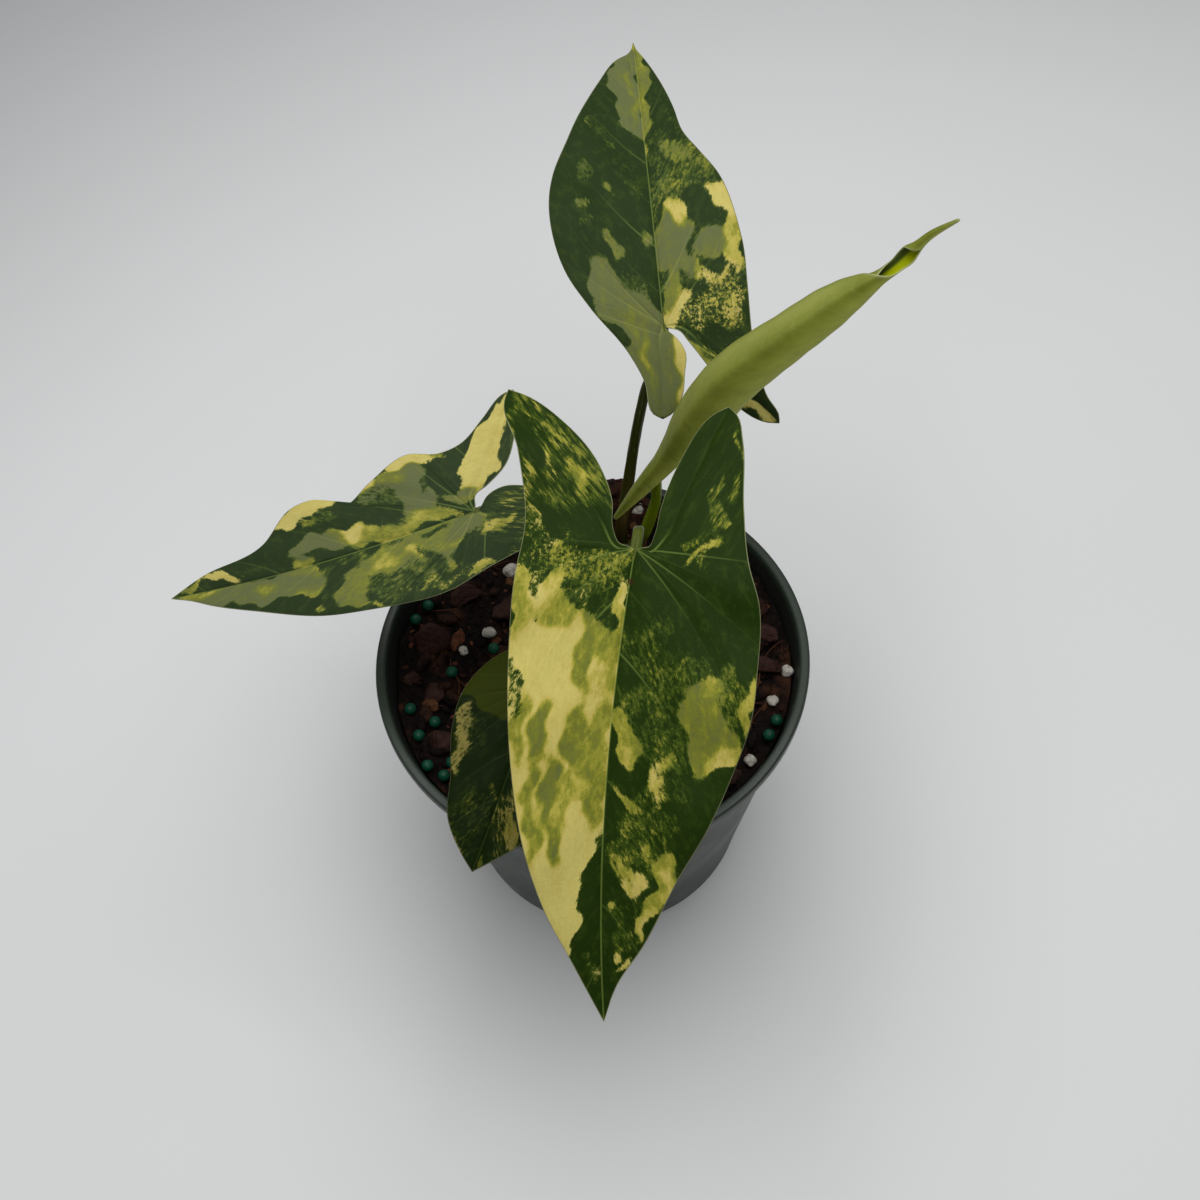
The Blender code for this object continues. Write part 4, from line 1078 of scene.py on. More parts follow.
def roll_course(rows):
    """Points along the roll's axis, the directions below and behind it, and its radius."""
    axis = spline(ROLL_AXIS, rows)
    ahead = np.gradient(axis, axis=0)
    ahead /= np.linalg.norm(ahead, axis=1, keepdims=True)
    below = np.cross((0.0, 1.0, 0.0), ahead)
    below /= np.linalg.norm(below, axis=1, keepdims=True)
    along, radius = spline([(share * ROLL_LENGTH, size) for share, size in ROLL_RADII], 1000).T
    radius = np.interp(np.linspace(0, ROLL_LENGTH, rows), along, radius)
    return axis, below, np.cross(ahead, below), radius


print("thickest place of the roll:", (2 * roll_course(280)[3].max()).round(1), "mm")

# %% Scroll
ROLL_LAP = 122.0  # where the free margin lies round the axis, in degrees from the underside
ROLL_KEEL = 212.0  # where the midrib's keel lies, in the same degrees
WINDING = 480  # degrees that the sheet winds round, and how many fewer where it is open
LESS_OPEN, LESS_CLOSED = 285, 80
OPENS = (0.785, 0.86)  # shares of the length between which the roll opens
CLOSES = (0.885, 0.92)  # and closes again
TIGHTENING = 0.13  # share of its radius that the scroll loses with each turn
VEIN_PITCH = 7.5  # mm from one side vein of the roll to the next
SCROLL_THICKNESS = 0.4


def scroll(rows, columns):
    """Angle, radius and distance to the sheet's margin for each point of the scroll, and where it
    lies along the slanting side veins. The radius shrinks with each turn, swells a little at the
    keel and at the margin, and dips where side veins pull it in."""
    _, _, _, radius = roll_course(rows)
    share = np.linspace(0, 1, rows)[:, None]
    across = np.linspace(0, 1, columns)[None]
    opening = rise(share, *OPENS)
    closing = rise(share, *CLOSES)
    lap = np.radians(ROLL_LAP + 168 * opening + 14 * np.sin(9 * share))
    sweep = np.radians(WINDING - LESS_OPEN * opening + (LESS_OPEN - LESS_CLOSED) * closing)
    angle = lap + sweep * across
    from_keel = angle - np.radians(ROLL_KEEL)
    radius = radius[:, None]
    reach = radius * (1 - TIGHTENING * sweep * across / (2 * np.pi))
    reach = reach * (1 + 0.09 * bell(from_keel, 0.22))
    edge = radius * sweep * np.minimum(across, 1 - across)
    slant = share * ROLL_LENGTH - 0.9 * np.abs(from_keel) * radius
    reach = reach + 0.04 * np.sin(2 * np.pi * slant / VEIN_PITCH) * np.clip(radius / 3, 0, 1)
    reach = reach + 0.3 * np.exp(-edge / 0.8) * np.clip(radius / 4, 0, 1)
    ends = ROLL_LENGTH * np.minimum(share, 1 - share)
    return angle, reach, np.minimum(edge, ends), slant


def make_roll(rows, columns, paint):
    """The scroll's outer and inner face, each half the sheet's thickness from its middle. What
    the paint reads are bell curves and smooth steps of the angle and of the distances: "marks" is
    a band of painted sheen on the upper side and mottle outside, painted light coming through and
    the hem inside; "hem_and_painted_light" is the hem and painted light on the side facing down."""
    axis, below, back, _ = roll_course(rows)
    angle, reach, edge, slant = scroll(rows, columns)
    way = below[:, None] * np.cos(angle)[..., None] + back[:, None] * np.sin(angle)[..., None]
    half = SCROLL_THICKNESS / 2 * np.sqrt(np.clip(edge / 0.5, 0, 1))
    share = np.linspace(0, 1, rows)[:, None]
    degrees = np.degrees(angle)
    place = stacked(angle * reach, share * ROLL_LENGTH, slant)
    # Painted sheen: a band along the upper side of the roll, where it faces the light.
    upper_sheen_band = bell(degrees - 168, 36) * rise(share, 0.12, 0.4) * rise(-share, -0.86, -0.7)
    mottle = bell(share - 0.27, 0.14) * rise(degrees, 150, 230)
    bright = rise(np.cos(angle + 0.2), 0.15, 0.7)
    hem = np.exp(-edge / 0.35)
    # The hem, and painted light on the side that faces down.
    hem_and_painted_light = stacked(hem, rise(np.cos(angle + 0.5), -0.2, 0.9), 0)
    outer = {"place": place, "marks": stacked(upper_sheen_band, mottle, 0), "hem_and_painted_light": hem_and_painted_light}
    inner = {"place": place, "marks": stacked(bright, hem, 1), "hem_and_painted_light": hem_and_painted_light}
    grids = []
    for data, inside, way_out in ((outer, False, half), (inner, True, -half)):
        points = axis[:, None] + way * (reach + way_out)[..., None]
        grids.append((points, not inside, data))
    finished("rolled_leaf", joined_mesh("rolled_leaf", grids), paint, ["blade_new"])


print("turns of the scroll in its middle:", round(WINDING / 360, 2))


# %% Rolled leaf material
def make_roll_material():
    """Olive-lime skin with a band of painted sheen on its upper side, painted light on the side that
    faces down, faint mottles and slanting veins; the inner face is dark green on one side and
    bright yellow-green where light comes through."""
    made, tree, shader = new_material("young leaf", 0.5, 0.06)
    place, _, _, slant = attribute(tree, "place")
    _, first, second, inside = attribute(tree, "marks")
    _, hem, low, _ = attribute(tree, "hem_and_painted_light")
    cloud = noise(tree, place, 0.16, 4.0, 0.6, (1, 0.5, 0))
    fine = noise(tree, place, 0.9, 5.0, 0.65, (1, 0.45, 0))
    skin = mix(tree, ramp(tree, cloud, 0.35, 0.65), tone(92, 99, 28), tone(105, 112, 38))
    # Painted light: the side that faces down is lighter, as if lit from the floor below.
    skin = tint(tree, skin, tone(172, 180, 84), low, 0.9)
    skin = tint(tree, skin, tone(116, 122, 52), ramp(tree, fine, 0.45, 0.7), 0.35)
    # Painted sheen: a lighter band along the upper side, where it faces the light.
    skin = tint(tree, skin, tone(138, 143, 76), first, 0.6)
    spots = ramp(tree, noise(tree, place, 0.42, 5.0, 0.7, (1, 0.6, 0), (4, 2, 0)), 0.54, 0.62)
    spots = maths(tree, "MULTIPLY", spots, second)
    skin = tint(tree, skin, tone(74, 84, 30), spots, 0.6)
    line = ramp(tree, maths(tree, "PINGPONG", slant, VEIN_PITCH / 2), 0.1, 0.45, 1.0, 0.0)
    skin = tint(tree, skin, tone(150, 156, 92), line, 0.07)
    within = mix(tree, first, tone(70, 84, 30), tone(160, 170, 8))
    colour = mix(tree, inside, skin, within)
    colour = tint(tree, colour, tone(178, 182, 140), hem, 0.7)
    tree.links.new(colour, shader.inputs["Base Color"])
    bump(tree, shader, maths(tree, "ADD", fine, maths(tree, "MULTIPLY", line, -0.25)), 0.2, 0.00015)
    return made


make_roll(rows=280, columns=104, paint=make_roll_material())

# %% [markdown]
# ## The leaf stalks
# Each leaf hangs on a stalk that is round below, channelled on its upper side, and widened at its
# foot into a sheath with two thin wings that clasp the crown. At its upper end it bends over, runs
# into the joint between the two lobes and goes on under the blade as the thick start of the
# midrib. A tube whose radius depends on both its length and the angle round it gives all of that.

# %% Course of the stalks
# Each row: way points from the foot up, then the radius at the foot and at the top.
STALKS = {
    "front": (((11.3, 25.6, 86.0), (11.6, 24.8, 92.0), (12.5, 12, 112), (12.3, -6.6, 141.4)), 1.7, 1.1),
    "back": (((11, 32.2, 86.0), (11.2, 32.6, 92.0), (13.6, 37, 105), (19, 39.5, 138)), 1.6, 1.1),
    "left": (((7.8, 29.6, 86.0), (7.2, 29.4, 92.0), (2.5, 27.5, 103), (-9, 22.5, 119)), 1.5, 1.0),
    "low": (((8.6, 26.6, 86.0), (8.0, 25.6, 90.0), (3, 16.5, 96), (-6, -1.5, 100.5)), 1.2, 0.8),
    "new": (((14.6, 28.6, 86.0), (14.9, 28.2, 92.0), (16.4, 26, 99), (19.2, 25.2, 112)), 1.7, 1.2),
}
BEND_BACK = 0.8  # how far behind the joint a stalk bends over, in mm
UNDER_RIB = (0.0, 4.0, 9.0, 15.0)  # it goes on under the blade to these distances
RIB_DEPTHS = (0.75, 0.75, 0.8, 0.75, 0.6)  # how far below the blade, in radii of its upper end
ALONG_ROLL = (20, 28, 38)  # hundredths of the roll's length at which the youngest stalk lies on it


def stalk_line(name, rows):
    """Way points of a whole stalk as a smooth line: foot to bend, joint, and under the midrib.
    The young leaf's stalk runs up along the back of the roll instead."""
    points, _, thin = STALKS[name]
    if name == "new":
        axis, _, back, radius = roll_course(101)
        spots = np.array(ALONG_ROLL)
        top = axis[spots] + back[spots] * (radius[spots] - 0.3)[:, None]
        return spline([*points, *top], rows)
    line, _, up = blade_frame(BLADES[name], np.array([-BEND_BACK, *UNDER_RIB]))
    depth = np.array(RIB_DEPTHS) * thin
    return spline([*points, *(line - up * depth[:, None])], rows)


for name in STALKS:
    steps = np.diff(stalk_line(name, 160), axis=0)
    print(name, "stalk", round(np.linalg.norm(steps, axis=1).sum()), "mm long")

# %% Stalk shape
STALK_GRID = (160, 40)  # rings along a stalk, points round it
CHANNEL_DEPTH, SHEATH_DEPTH = 0.26, 0.2  # depth of the channel, and what the sheath adds to it
WINGS = 0.4  # height of the sheath's wings; these three are shares of the radius
WING_PLACE = 0.85  # radians from the middle of the channel


def make_stalk(name, rows, columns, paint):
    """Grid of length by angle. Radius = a taper, less the channel on the upper side, plus the
    sheath's wings near the foot, and closed to a point at both ends by a root curve. The channel
    and the wings are bell curves of the angle from the upper side."""
    (foot, *_), thick, thin = STALKS[name]
    line = stalk_line(name, rows)
    ahead = np.gradient(line, axis=0)
    ahead /= np.linalg.norm(ahead, axis=1, keepdims=True)
    lean = np.array([foot[0] - line[-1, 0], foot[1] - line[-1, 1], 0.0])
    above = lean / np.linalg.norm(lean) * 0.8 + np.array([0, 0, 1.0])
    upper = above - ahead * (ahead @ above)[:, None]
    upper /= np.linalg.norm(upper, axis=1, keepdims=True)
    beside = np.cross(ahead, upper)
    length = np.concatenate([[0], np.cumsum(np.linalg.norm(np.diff(line, axis=0), axis=1))])[:, None]
    share = length / length[-1]
    tail = 1 - 0.65 * rise(length, length[-1] - UNDER_RIB[-1], length[-1])
    around = np.linspace(-np.pi, np.pi, columns)[None]
    sheath = 1 - rise(share, 0.05, 0.42)
    size = (thin + (thick - thin) * (1 - share) ** 1.5) * tail
    channel = (CHANNEL_DEPTH + SHEATH_DEPTH * sheath) * bell(around, 0.5 + 0.1 * sheath)
    wings = WINGS * sheath * bell(np.abs(around) - WING_PLACE, 0.2)
    ripple = 0.03 * np.sin(5 * around + 0.25 * length) + 0.02 * np.sin(9 * around - 0.6 * length)
    ends = np.sqrt(np.clip(np.minimum(length, length[-1] - length) / size, 0, 1))
    out = size * (1 - channel + wings + ripple) * ends
    points = (line[:, None] + upper[:, None] * (out * np.cos(around))[..., None]
              + beside[:, None] * (out * np.sin(around))[..., None])
    place = stacked(around * size + 9 * len(name), length, channel)
    joint = length[-1] - UNDER_RIB[-1]
    marks = stacked(rise(length, joint - 14, joint + 1), sheath, float(name == "new"))
    marks = np.broadcast_to(marks, points.shape)
    mesh = joined_mesh(f"stalk_{name}", [(points, True, {"place": place, "marks": marks})])
    finished(f"stalk_{name}", mesh, paint, [f"petiole_{name}"])


print("each stalk is a grid of", STALK_GRID[0], "rings by", STALK_GRID[1], "points")


# %% Stalk material and the five stalks
def make_stalk_material():
    """Dark olive with lengthwise streaks, greener towards the joint and red-brown at the foot,
    with painted shade in the channel on its upper side.
    """
    made, tree, shader = new_material("leaf stalk", 0.42, 0.1)
    place, _, _, hollow = attribute(tree, "place")
    _, joint, foot, young = attribute(tree, "marks")
    streak = noise(tree, place, 0.9, 4.0, 0.6, (1.4, 0.06, 0))
    cloud = noise(tree, place, 0.35, 4.0, 0.6, (1, 0.4, 0))
    skin = mix(tree, streak, tone(38, 42, 8), tone(58, 62, 16))
    skin = tint(tree, skin, tone(104, 124, 10), young, 0.85)
    skin = tint(tree, skin, tone(78, 90, 30), joint, 0.7)
    skin = tint(tree, skin, tone(98, 104, 48), ramp(tree, cloud, 0.56, 0.64), 0.3)
    brown = maths(tree, "MULTIPLY", foot, ramp(tree, cloud, 0.35, 0.6))
    skin = tint(tree, skin, tone(62, 38, 22), brown, 0.7)
    # Painted shade: the channel is darker the deeper it is.
    skin = tint(tree, skin, tone(26, 32, 10), hollow, 0.6)
    tree.links.new(skin, shader.inputs["Base Color"])
    bump(tree, shader, streak, 0.3, 0.0002)
    return made


STALK = make_stalk_material()
for name in STALKS:
    make_stalk(name, *STALK_GRID, STALK)

# %% [markdown]
# ## The crown
# All stalks rise from one short stem, wrapped in the sheaths of older leaves, which dry to thin
# red-brown skins with torn tops. The stem is a fluted stub with a domed top. The skins are
# narrow sheets bent round it, as high as a wave formula says, so that their edges look torn.

# %% Crown shape
CROWN = (11.0, 29.0)
CROWN_TOP, CROWN_FOOT = 88.0, 77.0
CROWN_RADIUS = 5.2
# Each skin: middle of its sweep and half its sweep in degrees, radius, foot and height in mm.
SKINS = ((250, 62, 5.9, 76.5, 14.5), (15, 55, 5.6, 76.5, 15.5), (130, 70, 6.1, 76.5, 12.0),
         (195, 40, 6.9, 76.0, 10.5), (320, 45, 6.6, 76.0, 9.5), (75, 38, 6.8, 76.0, 10.0))


def crown_stub(rows, columns):
    """The stem: height by angle, its radius fluted by three ridges and closed at both ends."""
    level = np.linspace(0, 1, rows)[:, None]
    around = np.linspace(0, 2 * np.pi, columns)[None]
    flutes = 1 + 0.1 * np.sin(3 * around + 4 * level) + 0.03 * np.sin(11 * around)
    spread = CROWN_RADIUS * flutes * np.clip(4 * level * (1 - level), 0, 1) ** 0.22
    height = CROWN_TOP - (CROWN_TOP - CROWN_FOOT) * level
    return stacked(CROWN[0] + spread * np.cos(around), CROWN[1] + spread * np.sin(around), height)


def skin_faces(middle, half, radius, foot, tall, seed):
    """Outer and inner face of one dry skin, meeting in a thin edge all round."""
    up = np.linspace(0, 1, 26)[:, None]
    across = np.linspace(-1, 1, 36)[None]
    angle = np.radians(middle + half * across * (1 - 0.35 * up))
    torn = 0.12 * np.sin(9 * across + seed) + 0.07 * np.sin(23 * across + 2 * seed) - 0.3 * across**2
    height = foot + tall * up * (1 + torn * up)
    out = radius + 0.9 * up**2 * np.sin(4 * across + seed) + 0.5 * up
    rim = np.minimum(np.minimum(1 - np.abs(across), up), 1 - up)
    thick = 0.14 * np.sqrt(np.clip(rim / 0.06, 0, 1))
    faces = []
    for side in (1, -1):
        away = out + side * thick
        faces.append(stacked(CROWN[0] + away * np.cos(angle), CROWN[1] + away * np.sin(angle),
                             height))
    return faces, up


def make_crown(paint):
    """The stub and its dry skins in one mesh. The mark says how dry each point is."""
    stub = crown_stub(40, 96)
    grids = [(stub, False, {"marks": np.zeros(stub.shape)})]
    for seed, skin in enumerate(SKINS):
        faces, up = skin_faces(*skin, seed)
        marks = np.broadcast_to(stacked(0.6 + 0.4 * up, up, seed), faces[0].shape)
        grids.append((faces[0], True, {"marks": marks}))
        grids.append((faces[1], False, {"marks": marks}))
    finished("sheathed_crown", joined_mesh("sheathed_crown", grids), paint, ["crown"])


print("stub", CROWN_TOP - CROWN_FOOT, "mm tall with", len(SKINS), "skins")


# %% Crown material and the crown
def make_crown_material():
    """Olive stem under red-brown papery skin with upright fibres."""
    made, tree, shader = new_material("crown skin", 0.7, 0.2)
    place = own_place(tree)
    _, dry, _, _ = attribute(tree, "marks")
    fibre = noise(tree, place, 900.0, 4.0, 0.6, (1, 1, 0.07))
    cloud = noise(tree, place, 260.0, 4.0)
    green = mix(tree, fibre, tone(44, 48, 18), tone(78, 84, 36))
    brown = mix(tree, fibre, tone(34, 16, 11), tone(92, 52, 36))
    dry = maths(tree, "ADD", dry, maths(tree, "MULTIPLY", cloud, 0.5))
    colour = mix(tree, ramp(tree, dry, 0.4, 0.75), green, brown)
    tree.links.new(colour, shader.inputs["Base Color"])
    bump(tree, shader, fibre, 0.5, 0.0003)
    return made


make_crown(make_crown_material())

# %% [markdown]
# ## The potting mix
# The mix is fine bark, coir and peat, almost black where it is damp. It is a block that fills the
# pot: its top is a height field of packed crumbs in three sizes on gentle lumps with a heap
# behind the plant, its side follows the pot's wall and its underside lies on the pot's floor.
# On top lie loose crumbs, thin chips and coir fibres, so that the surface has real edges and
# gaps, which relief alone can't give.

# %% Height of the mix
MIX_LEVEL = 79.0
HEAP = (11.0, 47.5, 15.0, 7.0)  # x, y, height and spread of the heap behind the plant
GAP = 0.3  # between the mix and the pot
# In mm: height, radii of the rim, its opening and the base, thickness of wall and floor, and
# height of the lip.
POT = {"height": 86.0, "rim": 55.0, "opening": 52.2, "base": 39.5, "wall": 0.95, "floor": 1.4,
       "lip": 3.2}


def inner_radius(z):
    """Radius of the pot's inside at height z: a straight taper from floor to rim."""
    bottom = POT["base"] - POT["wall"] - 0.2
    return bottom + (POT["opening"] - bottom) * (z - POT["floor"]) / (POT["height"] - POT["floor"])


def heap_height(x, y):
    """The heap: a bell curve of the distance from its middle."""
    middle_x, middle_y, tall, spread = HEAP
    return tall * np.exp(-((x - middle_x) ** 2 + (y - middle_y) ** 2) / (2 * spread**2))


def mix_height(x, y):
    """Crumbled top of the mix: slow waves, the heap, and packed domes of three sizes."""
    lumps = 0.9 * np.sin(0.31 * x + 1.1) * np.cos(0.27 * y) + 0.6 * np.sin(0.63 * x - 0.41 * y)
    crumbs = 1.5 * domes(x, y, 5.3, 1) + 0.9 * domes(x, y, 2.3, 5) + 0.45 * domes(x, y, 1.1, 9)
    return MIX_LEVEL + lumps + heap_height(x, y) + crumbs - 1.3


spots = mix_height(*np.meshgrid(np.linspace(-30, 30, 61), np.linspace(-30, 20, 51)))
print("top of the mix in front of the heap:", spots.min().round(1), "to", spots.max().round(1), "mm")


# %% The block of mix
def make_mix(rings, columns, paint):
    """The block: rings out over the top, down the side and in over the underside. The side is as
    wide as the pot's inside, less the gap and a slight wave, and the underside has low domes."""
    around = np.linspace(0, 2 * np.pi, columns)[None]
    out = np.linspace(0, 1, rings)[:, None]
    foot = POT["floor"] + GAP
    rim = inner_radius(MIX_LEVEL) - GAP - 0.1
    x, y = out * rim * np.cos(around), out * rim * np.sin(around)
    top = stacked(x, y, mix_height(x, y))
    fall = np.linspace(0, 1, 24)[1:, None]
    height = top[-1:, :, 2] * (1 - fall) + (foot + 1.2) * fall
    side_radius = inner_radius(height) - GAP - 0.25 * (1 - np.cos(7 * around)) * fall
    side = stacked(side_radius * np.cos(around), side_radius * np.sin(around), height)
    inward = np.linspace(1, 0, 30)[:, None]
    under = side_radius[-1:] * inward * 0.97
    x, y = under * np.cos(around), under * np.sin(around)
    base = stacked(x, y, foot + 0.3 * domes(x, y, 2.3, 4) * inward)
    points = np.concatenate([top, side, base])
    marks = stacked(0, points[..., 2] - MIX_LEVEL, 0)
    mesh = joined_mesh("packed_mix", [(points, False, {"marks": marks})])
    finished("packed_mix", mesh, paint, ["potting_mix"])


print("the mix fills the pot from", POT["floor"] + GAP, "to about", MIX_LEVEL, "mm")

# %% Loose crumbs
CRUMBS_OUT_TO = 50.3  # mm from the middle


def make_crumbs(count, paint):
    """Loose crumbs and thin chips: broken lumps on a golden-angle spiral, each with its own size,
    flatness, turn and kind (0 dark crumb to 1 red-brown chip)."""
    number = np.arange(count)
    out = CRUMBS_OUT_TO * np.sqrt((number + 0.5) / count)
    x, y = out * np.cos(GOLDEN_ANGLE * number), out * np.sin(GOLDEN_ANGLE * number)
    kind = scatter(number, 3, 1)
    size = 0.9 + 4.6 * scatter(number, 5, 2) ** 2.4
    shape = stacked(size * 1.3, size * (0.55 + 0.4 * kind), size * (0.75 - 0.5 * kind))
    ways = ball(6, 8)
    far = 0.7 + 0.5 * scatter(number[:, None], np.arange(9)[None], 4)
    reach = broken(ways[None], far[:, None, None])
    points = ways * reach[..., None] * shape[:, None, None] / 2
    turn, tip = 6.3 * scatter(number, 7, 3), 1.2 * scatter(number, 9, 6) - 0.6
    points = turned(points, turn[:, None, None], tip[:, None, None])
    keep = np.hypot(x, y) + size * 0.8 < inner_radius(MIX_LEVEL) - GAP
    points = points + stacked(x, y, mix_height(x, y) + 0.15 * size)[:, None, None]
    marks = np.broadcast_to(stacked(kind, 1.0, number % 7)[:, None, None], points.shape)
    grids = [(points[i], False, {"marks": marks[i]}) for i in number[keep]]
    finished("loose_crumbs", joined_mesh("loose_crumbs", grids), paint, [])


print("crumbs lie up to", CRUMBS_OUT_TO, "mm from the middle")


# %% Coir fibres
ON_HEAP = 0.28  # share of the fibres that lie on the heap
CLEAR = 0.5  # mm of a fibre above the level of the mix


def make_fibres(count, paint):
    """Coir fibres: thin arcs lying on the mix, each with its own place, heading, length and bow.
    A share of them lies on the heap, where some stand up above the rim. Each is a tube of nine
    rings, thickest in its middle by a root curve."""
    number = np.arange(count)[:, None]
    on_heap = scatter(number, 1, 8) > 1 - ON_HEAP
    out = scatter(number, 2, 5)
    out = np.where(on_heap, 47 * out**0.3, 48 * np.sqrt(out))
    turn = scatter(number, 4, 5)
    turn = np.where(on_heap, 1.35 + 0.7 * (turn - 0.5), 6.283 * turn)
    heading = 6.283 * scatter(number, 6, 5)
    length = 4 + 11 * scatter(number, 8, 5)
    bow = 1.6 * (scatter(number, 10, 5) - 0.5)
    share = np.linspace(-0.5, 0.5, 9)[None]
    way = heading + bow * share
    x = out * np.cos(turn) + length * share * np.cos(way)
    y = out * np.sin(turn) + length * share * np.sin(way)
    shrink = np.minimum(1, (inner_radius(MIX_LEVEL) - 1.0) / np.hypot(x, y))
    x, y = x * shrink, y * shrink
    arch = np.where(on_heap, 2.6, 1.1) * scatter(number, 12, 5) * (1 - 4 * share**2)
    line = stacked(x, y, MIX_LEVEL + CLEAR + arch + heap_height(x, y))
    around = np.linspace(0, 2 * np.pi, 6)
    size = (0.1 + 0.16 * scatter(number, 14, 5)) * np.sqrt(np.clip(1 - (2 * share) ** 2, 0, 1))
    across = stacked(-np.sin(way), np.cos(way), 0)
    up = np.array([0, 0, 1.0])
    ring = across[:, :, None] * np.cos(around)[:, None] + up * np.sin(around)[:, None]
    points = line[:, :, None] + ring * size[..., None, None]
    kind = 0.4 + 0.6 * (number % 2)
    marks = np.broadcast_to(stacked(kind, 1.0, number % 5)[:, :, None], points.shape)
    grids = [(points[i], True, {"marks": marks[i]}) for i in range(count)]
    finished("coir_fibres", joined_mesh("coir_fibres", grids), paint, [])


print("fibres follow the heap, which is", HEAP[2], "mm tall")


# %% Mix material, and the mix with all that is loose
def make_mix_material(name, darkest, damp, dry, chip):
    """Damp organic matter: near black, browner on raised bits, red-brown on the loose chips."""
    made, tree, shader = new_material(name, 0.85, 0.12)
    place = own_place(tree)
    _, kind, high, number = attribute(tree, "marks")
    cloud = noise(tree, place, 110.0, 4.0, 0.6)
    fine = noise(tree, place, 900.0, 5.0, 0.7)
    colour = mix(tree, ramp(tree, fine, 0.35, 0.7), darkest, damp)
    brown = maths(tree, "MULTIPLY", ramp(tree, cloud, 0.5, 0.68),
                  ramp(tree, high, -0.5, 1.6, 0.2, 1.0))
    brown = maths(tree, "MAXIMUM", brown, ramp(tree, high, 4.0, 9.0, 0.0, 0.75))
    colour = mix(tree, brown, colour, dry)
    woody = mix(tree, ramp(tree, number, 2.0, 6.0), chip, tone(84, 56, 32))
    loose = mix(tree, ramp(tree, fine, 0.35, 0.7), dry, woody)
    colour = mix(tree, ramp(tree, kind, 0.62, 0.8), colour, loose)
    tree.links.new(colour, shader.inputs["Base Color"])
    bump(tree, shader, fine, 0.6, 0.0006)
    return made


MIX_PAINT = make_mix_material("potting mix", darkest=tone(4, 2, 1), damp=tone(22, 11, 7),
                              dry=tone(58, 33, 20), chip=tone(98, 56, 38))
COIR = make_mix_material("coir fibre", darkest=tone(20, 11, 7), damp=tone(40, 23, 15),
                         dry=tone(64, 37, 23), chip=tone(80, 48, 30))
make_mix(rings=140, columns=420, paint=MIX_PAINT)
make_crumbs(count=860, paint=MIX_PAINT)
make_fibres(count=170, paint=COIR)

# %% [markdown]
# ## Bark, perlite and fertiliser beads
# These lie singly on the mix, each in its own place, which is read from the solid part it stands
# for. A bark chip is a flat lump with broken faces, split along its grain. Perlite is popped
# glass, so it is round and knobbly. A fertiliser bead is a coated ball, dimpled as its coating
# dries. Each is a ball of directions pushed in and out by a formula.


# %% Chips, grains and beads
CHIP_SHAPE = (0.5, 0.46, 0.55)  # half widths of a chip as shares of its solid's widths
CHIP_SUNK = (0, 0, 0.7)  # mm by which a chip sits in the mix
BEAD_SHAPE = (0.88, 0.88, 0.84)  # a bead's widths as shares of its solid's widths


def middle_and_size(name):
    """Middle and widths in mm of the solid part with that name."""
    low, high = (np.array(corner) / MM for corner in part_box(name))
    return (low + high) / 2, high - low


def make_chip(name, seed, paint):
    """A bark chip: broken faces, then ridges along its grain, tipped and turned."""
    middle, size = middle_and_size(name)
    ways = ball(44, 64)
    far = 0.5 + 0.75 * scatter(np.arange(12), seed, 2)
    points = ways * broken(ways, far)[..., None] * size * CHIP_SHAPE
    slow = 5 * waves(points, 11.0, seed)
    grain = 0.5 * np.sin(points[..., 1] * 5.1 + slow) * np.sin(points[..., 1] * 1.7 - slow)
    rough = 0.12 * grain + 0.45 * waves(points, 3.4, seed + 4) + 0.18 * waves(points, 1.2, seed + 7)
    points = points + ways * rough[..., None]
    points = turned(points, 2.4 * seed, 0.3 * math.sin(3.0 * seed)) + middle - CHIP_SUNK
    marks = stacked(grain, rough, seed)
    mesh = joined_mesh(name, [(points, False, {"marks": marks})])
    finished(f"chip_{name[-2:]}", mesh, paint, [name])


def make_grain(name, seed, paint):
    """A grain of perlite: large and small knobs on a ball."""
    middle, size = middle_and_size(name)
    ways = ball(36, 52)
    knobs = 0.12 * waves(ways, 1.9, seed) + 0.05 * np.abs(waves(ways, 0.7, seed + 3))
    knobs = knobs + 0.012 * waves(ways, 0.22, seed)
    points = ways * (0.5 + knobs)[..., None] * size + middle
    mesh = joined_mesh(name, [(points, False, {"marks": stacked(knobs, knobs, knobs)})])
    finished(f"perlite_grain_{name[-2:]}", mesh, paint, [name])


def make_bead(name, seed, paint):
    """A fertiliser bead: nearly round, a little flat, with shallow dimples."""
    middle, size = middle_and_size(name)
    ways = ball(28, 44)
    dimples = 0.012 * waves(ways, 1.1, seed) - 0.03 * rise(waves(ways, 0.8, seed + 2), 0.35, 0.6)
    points = ways * (0.5 + dimples)[..., None] * size * BEAD_SHAPE + middle
    mesh = joined_mesh(name, [(points, False, {"marks": stacked(dimples, dimples, dimples)})])
    finished(f"bead_{name[-2:]}", mesh, paint, [name])


print("first chip's solid, in mm:", middle_and_size("bark_01")[1].round(1))


# %% Bark material
def make_bark_material():
    """Red-brown bark: darker in the grooves of its grain, with greyer weathered patches."""
    made, tree, shader = new_material("bark", 0.88, 0.12)
    place = own_place(tree)
    _, grain, _, _ = attribute(tree, "marks")
    cloud = noise(tree, place, 150.0, 4.0, 0.6)
    fine = noise(tree, place, 1400.0, 4.0, 0.65)
    colour = mix(tree, ramp(tree, grain, -0.6, 0.4), tone(20, 9, 6), tone(40, 21, 15))
    colour = mix(tree, ramp(tree, cloud, 0.42, 0.66), colour, tone(52, 35, 30))
    colour = tint(tree, colour, tone(74, 42, 28), ramp(tree, fine, 0.5, 0.75), 0.3)
    tree.links.new(colour, shader.inputs["Base Color"])
    bump(tree, shader, fine, 0.6, 0.0005)
    return made


BARK = make_bark_material()
print("bark paint:", len(BARK.node_tree.nodes), "nodes")


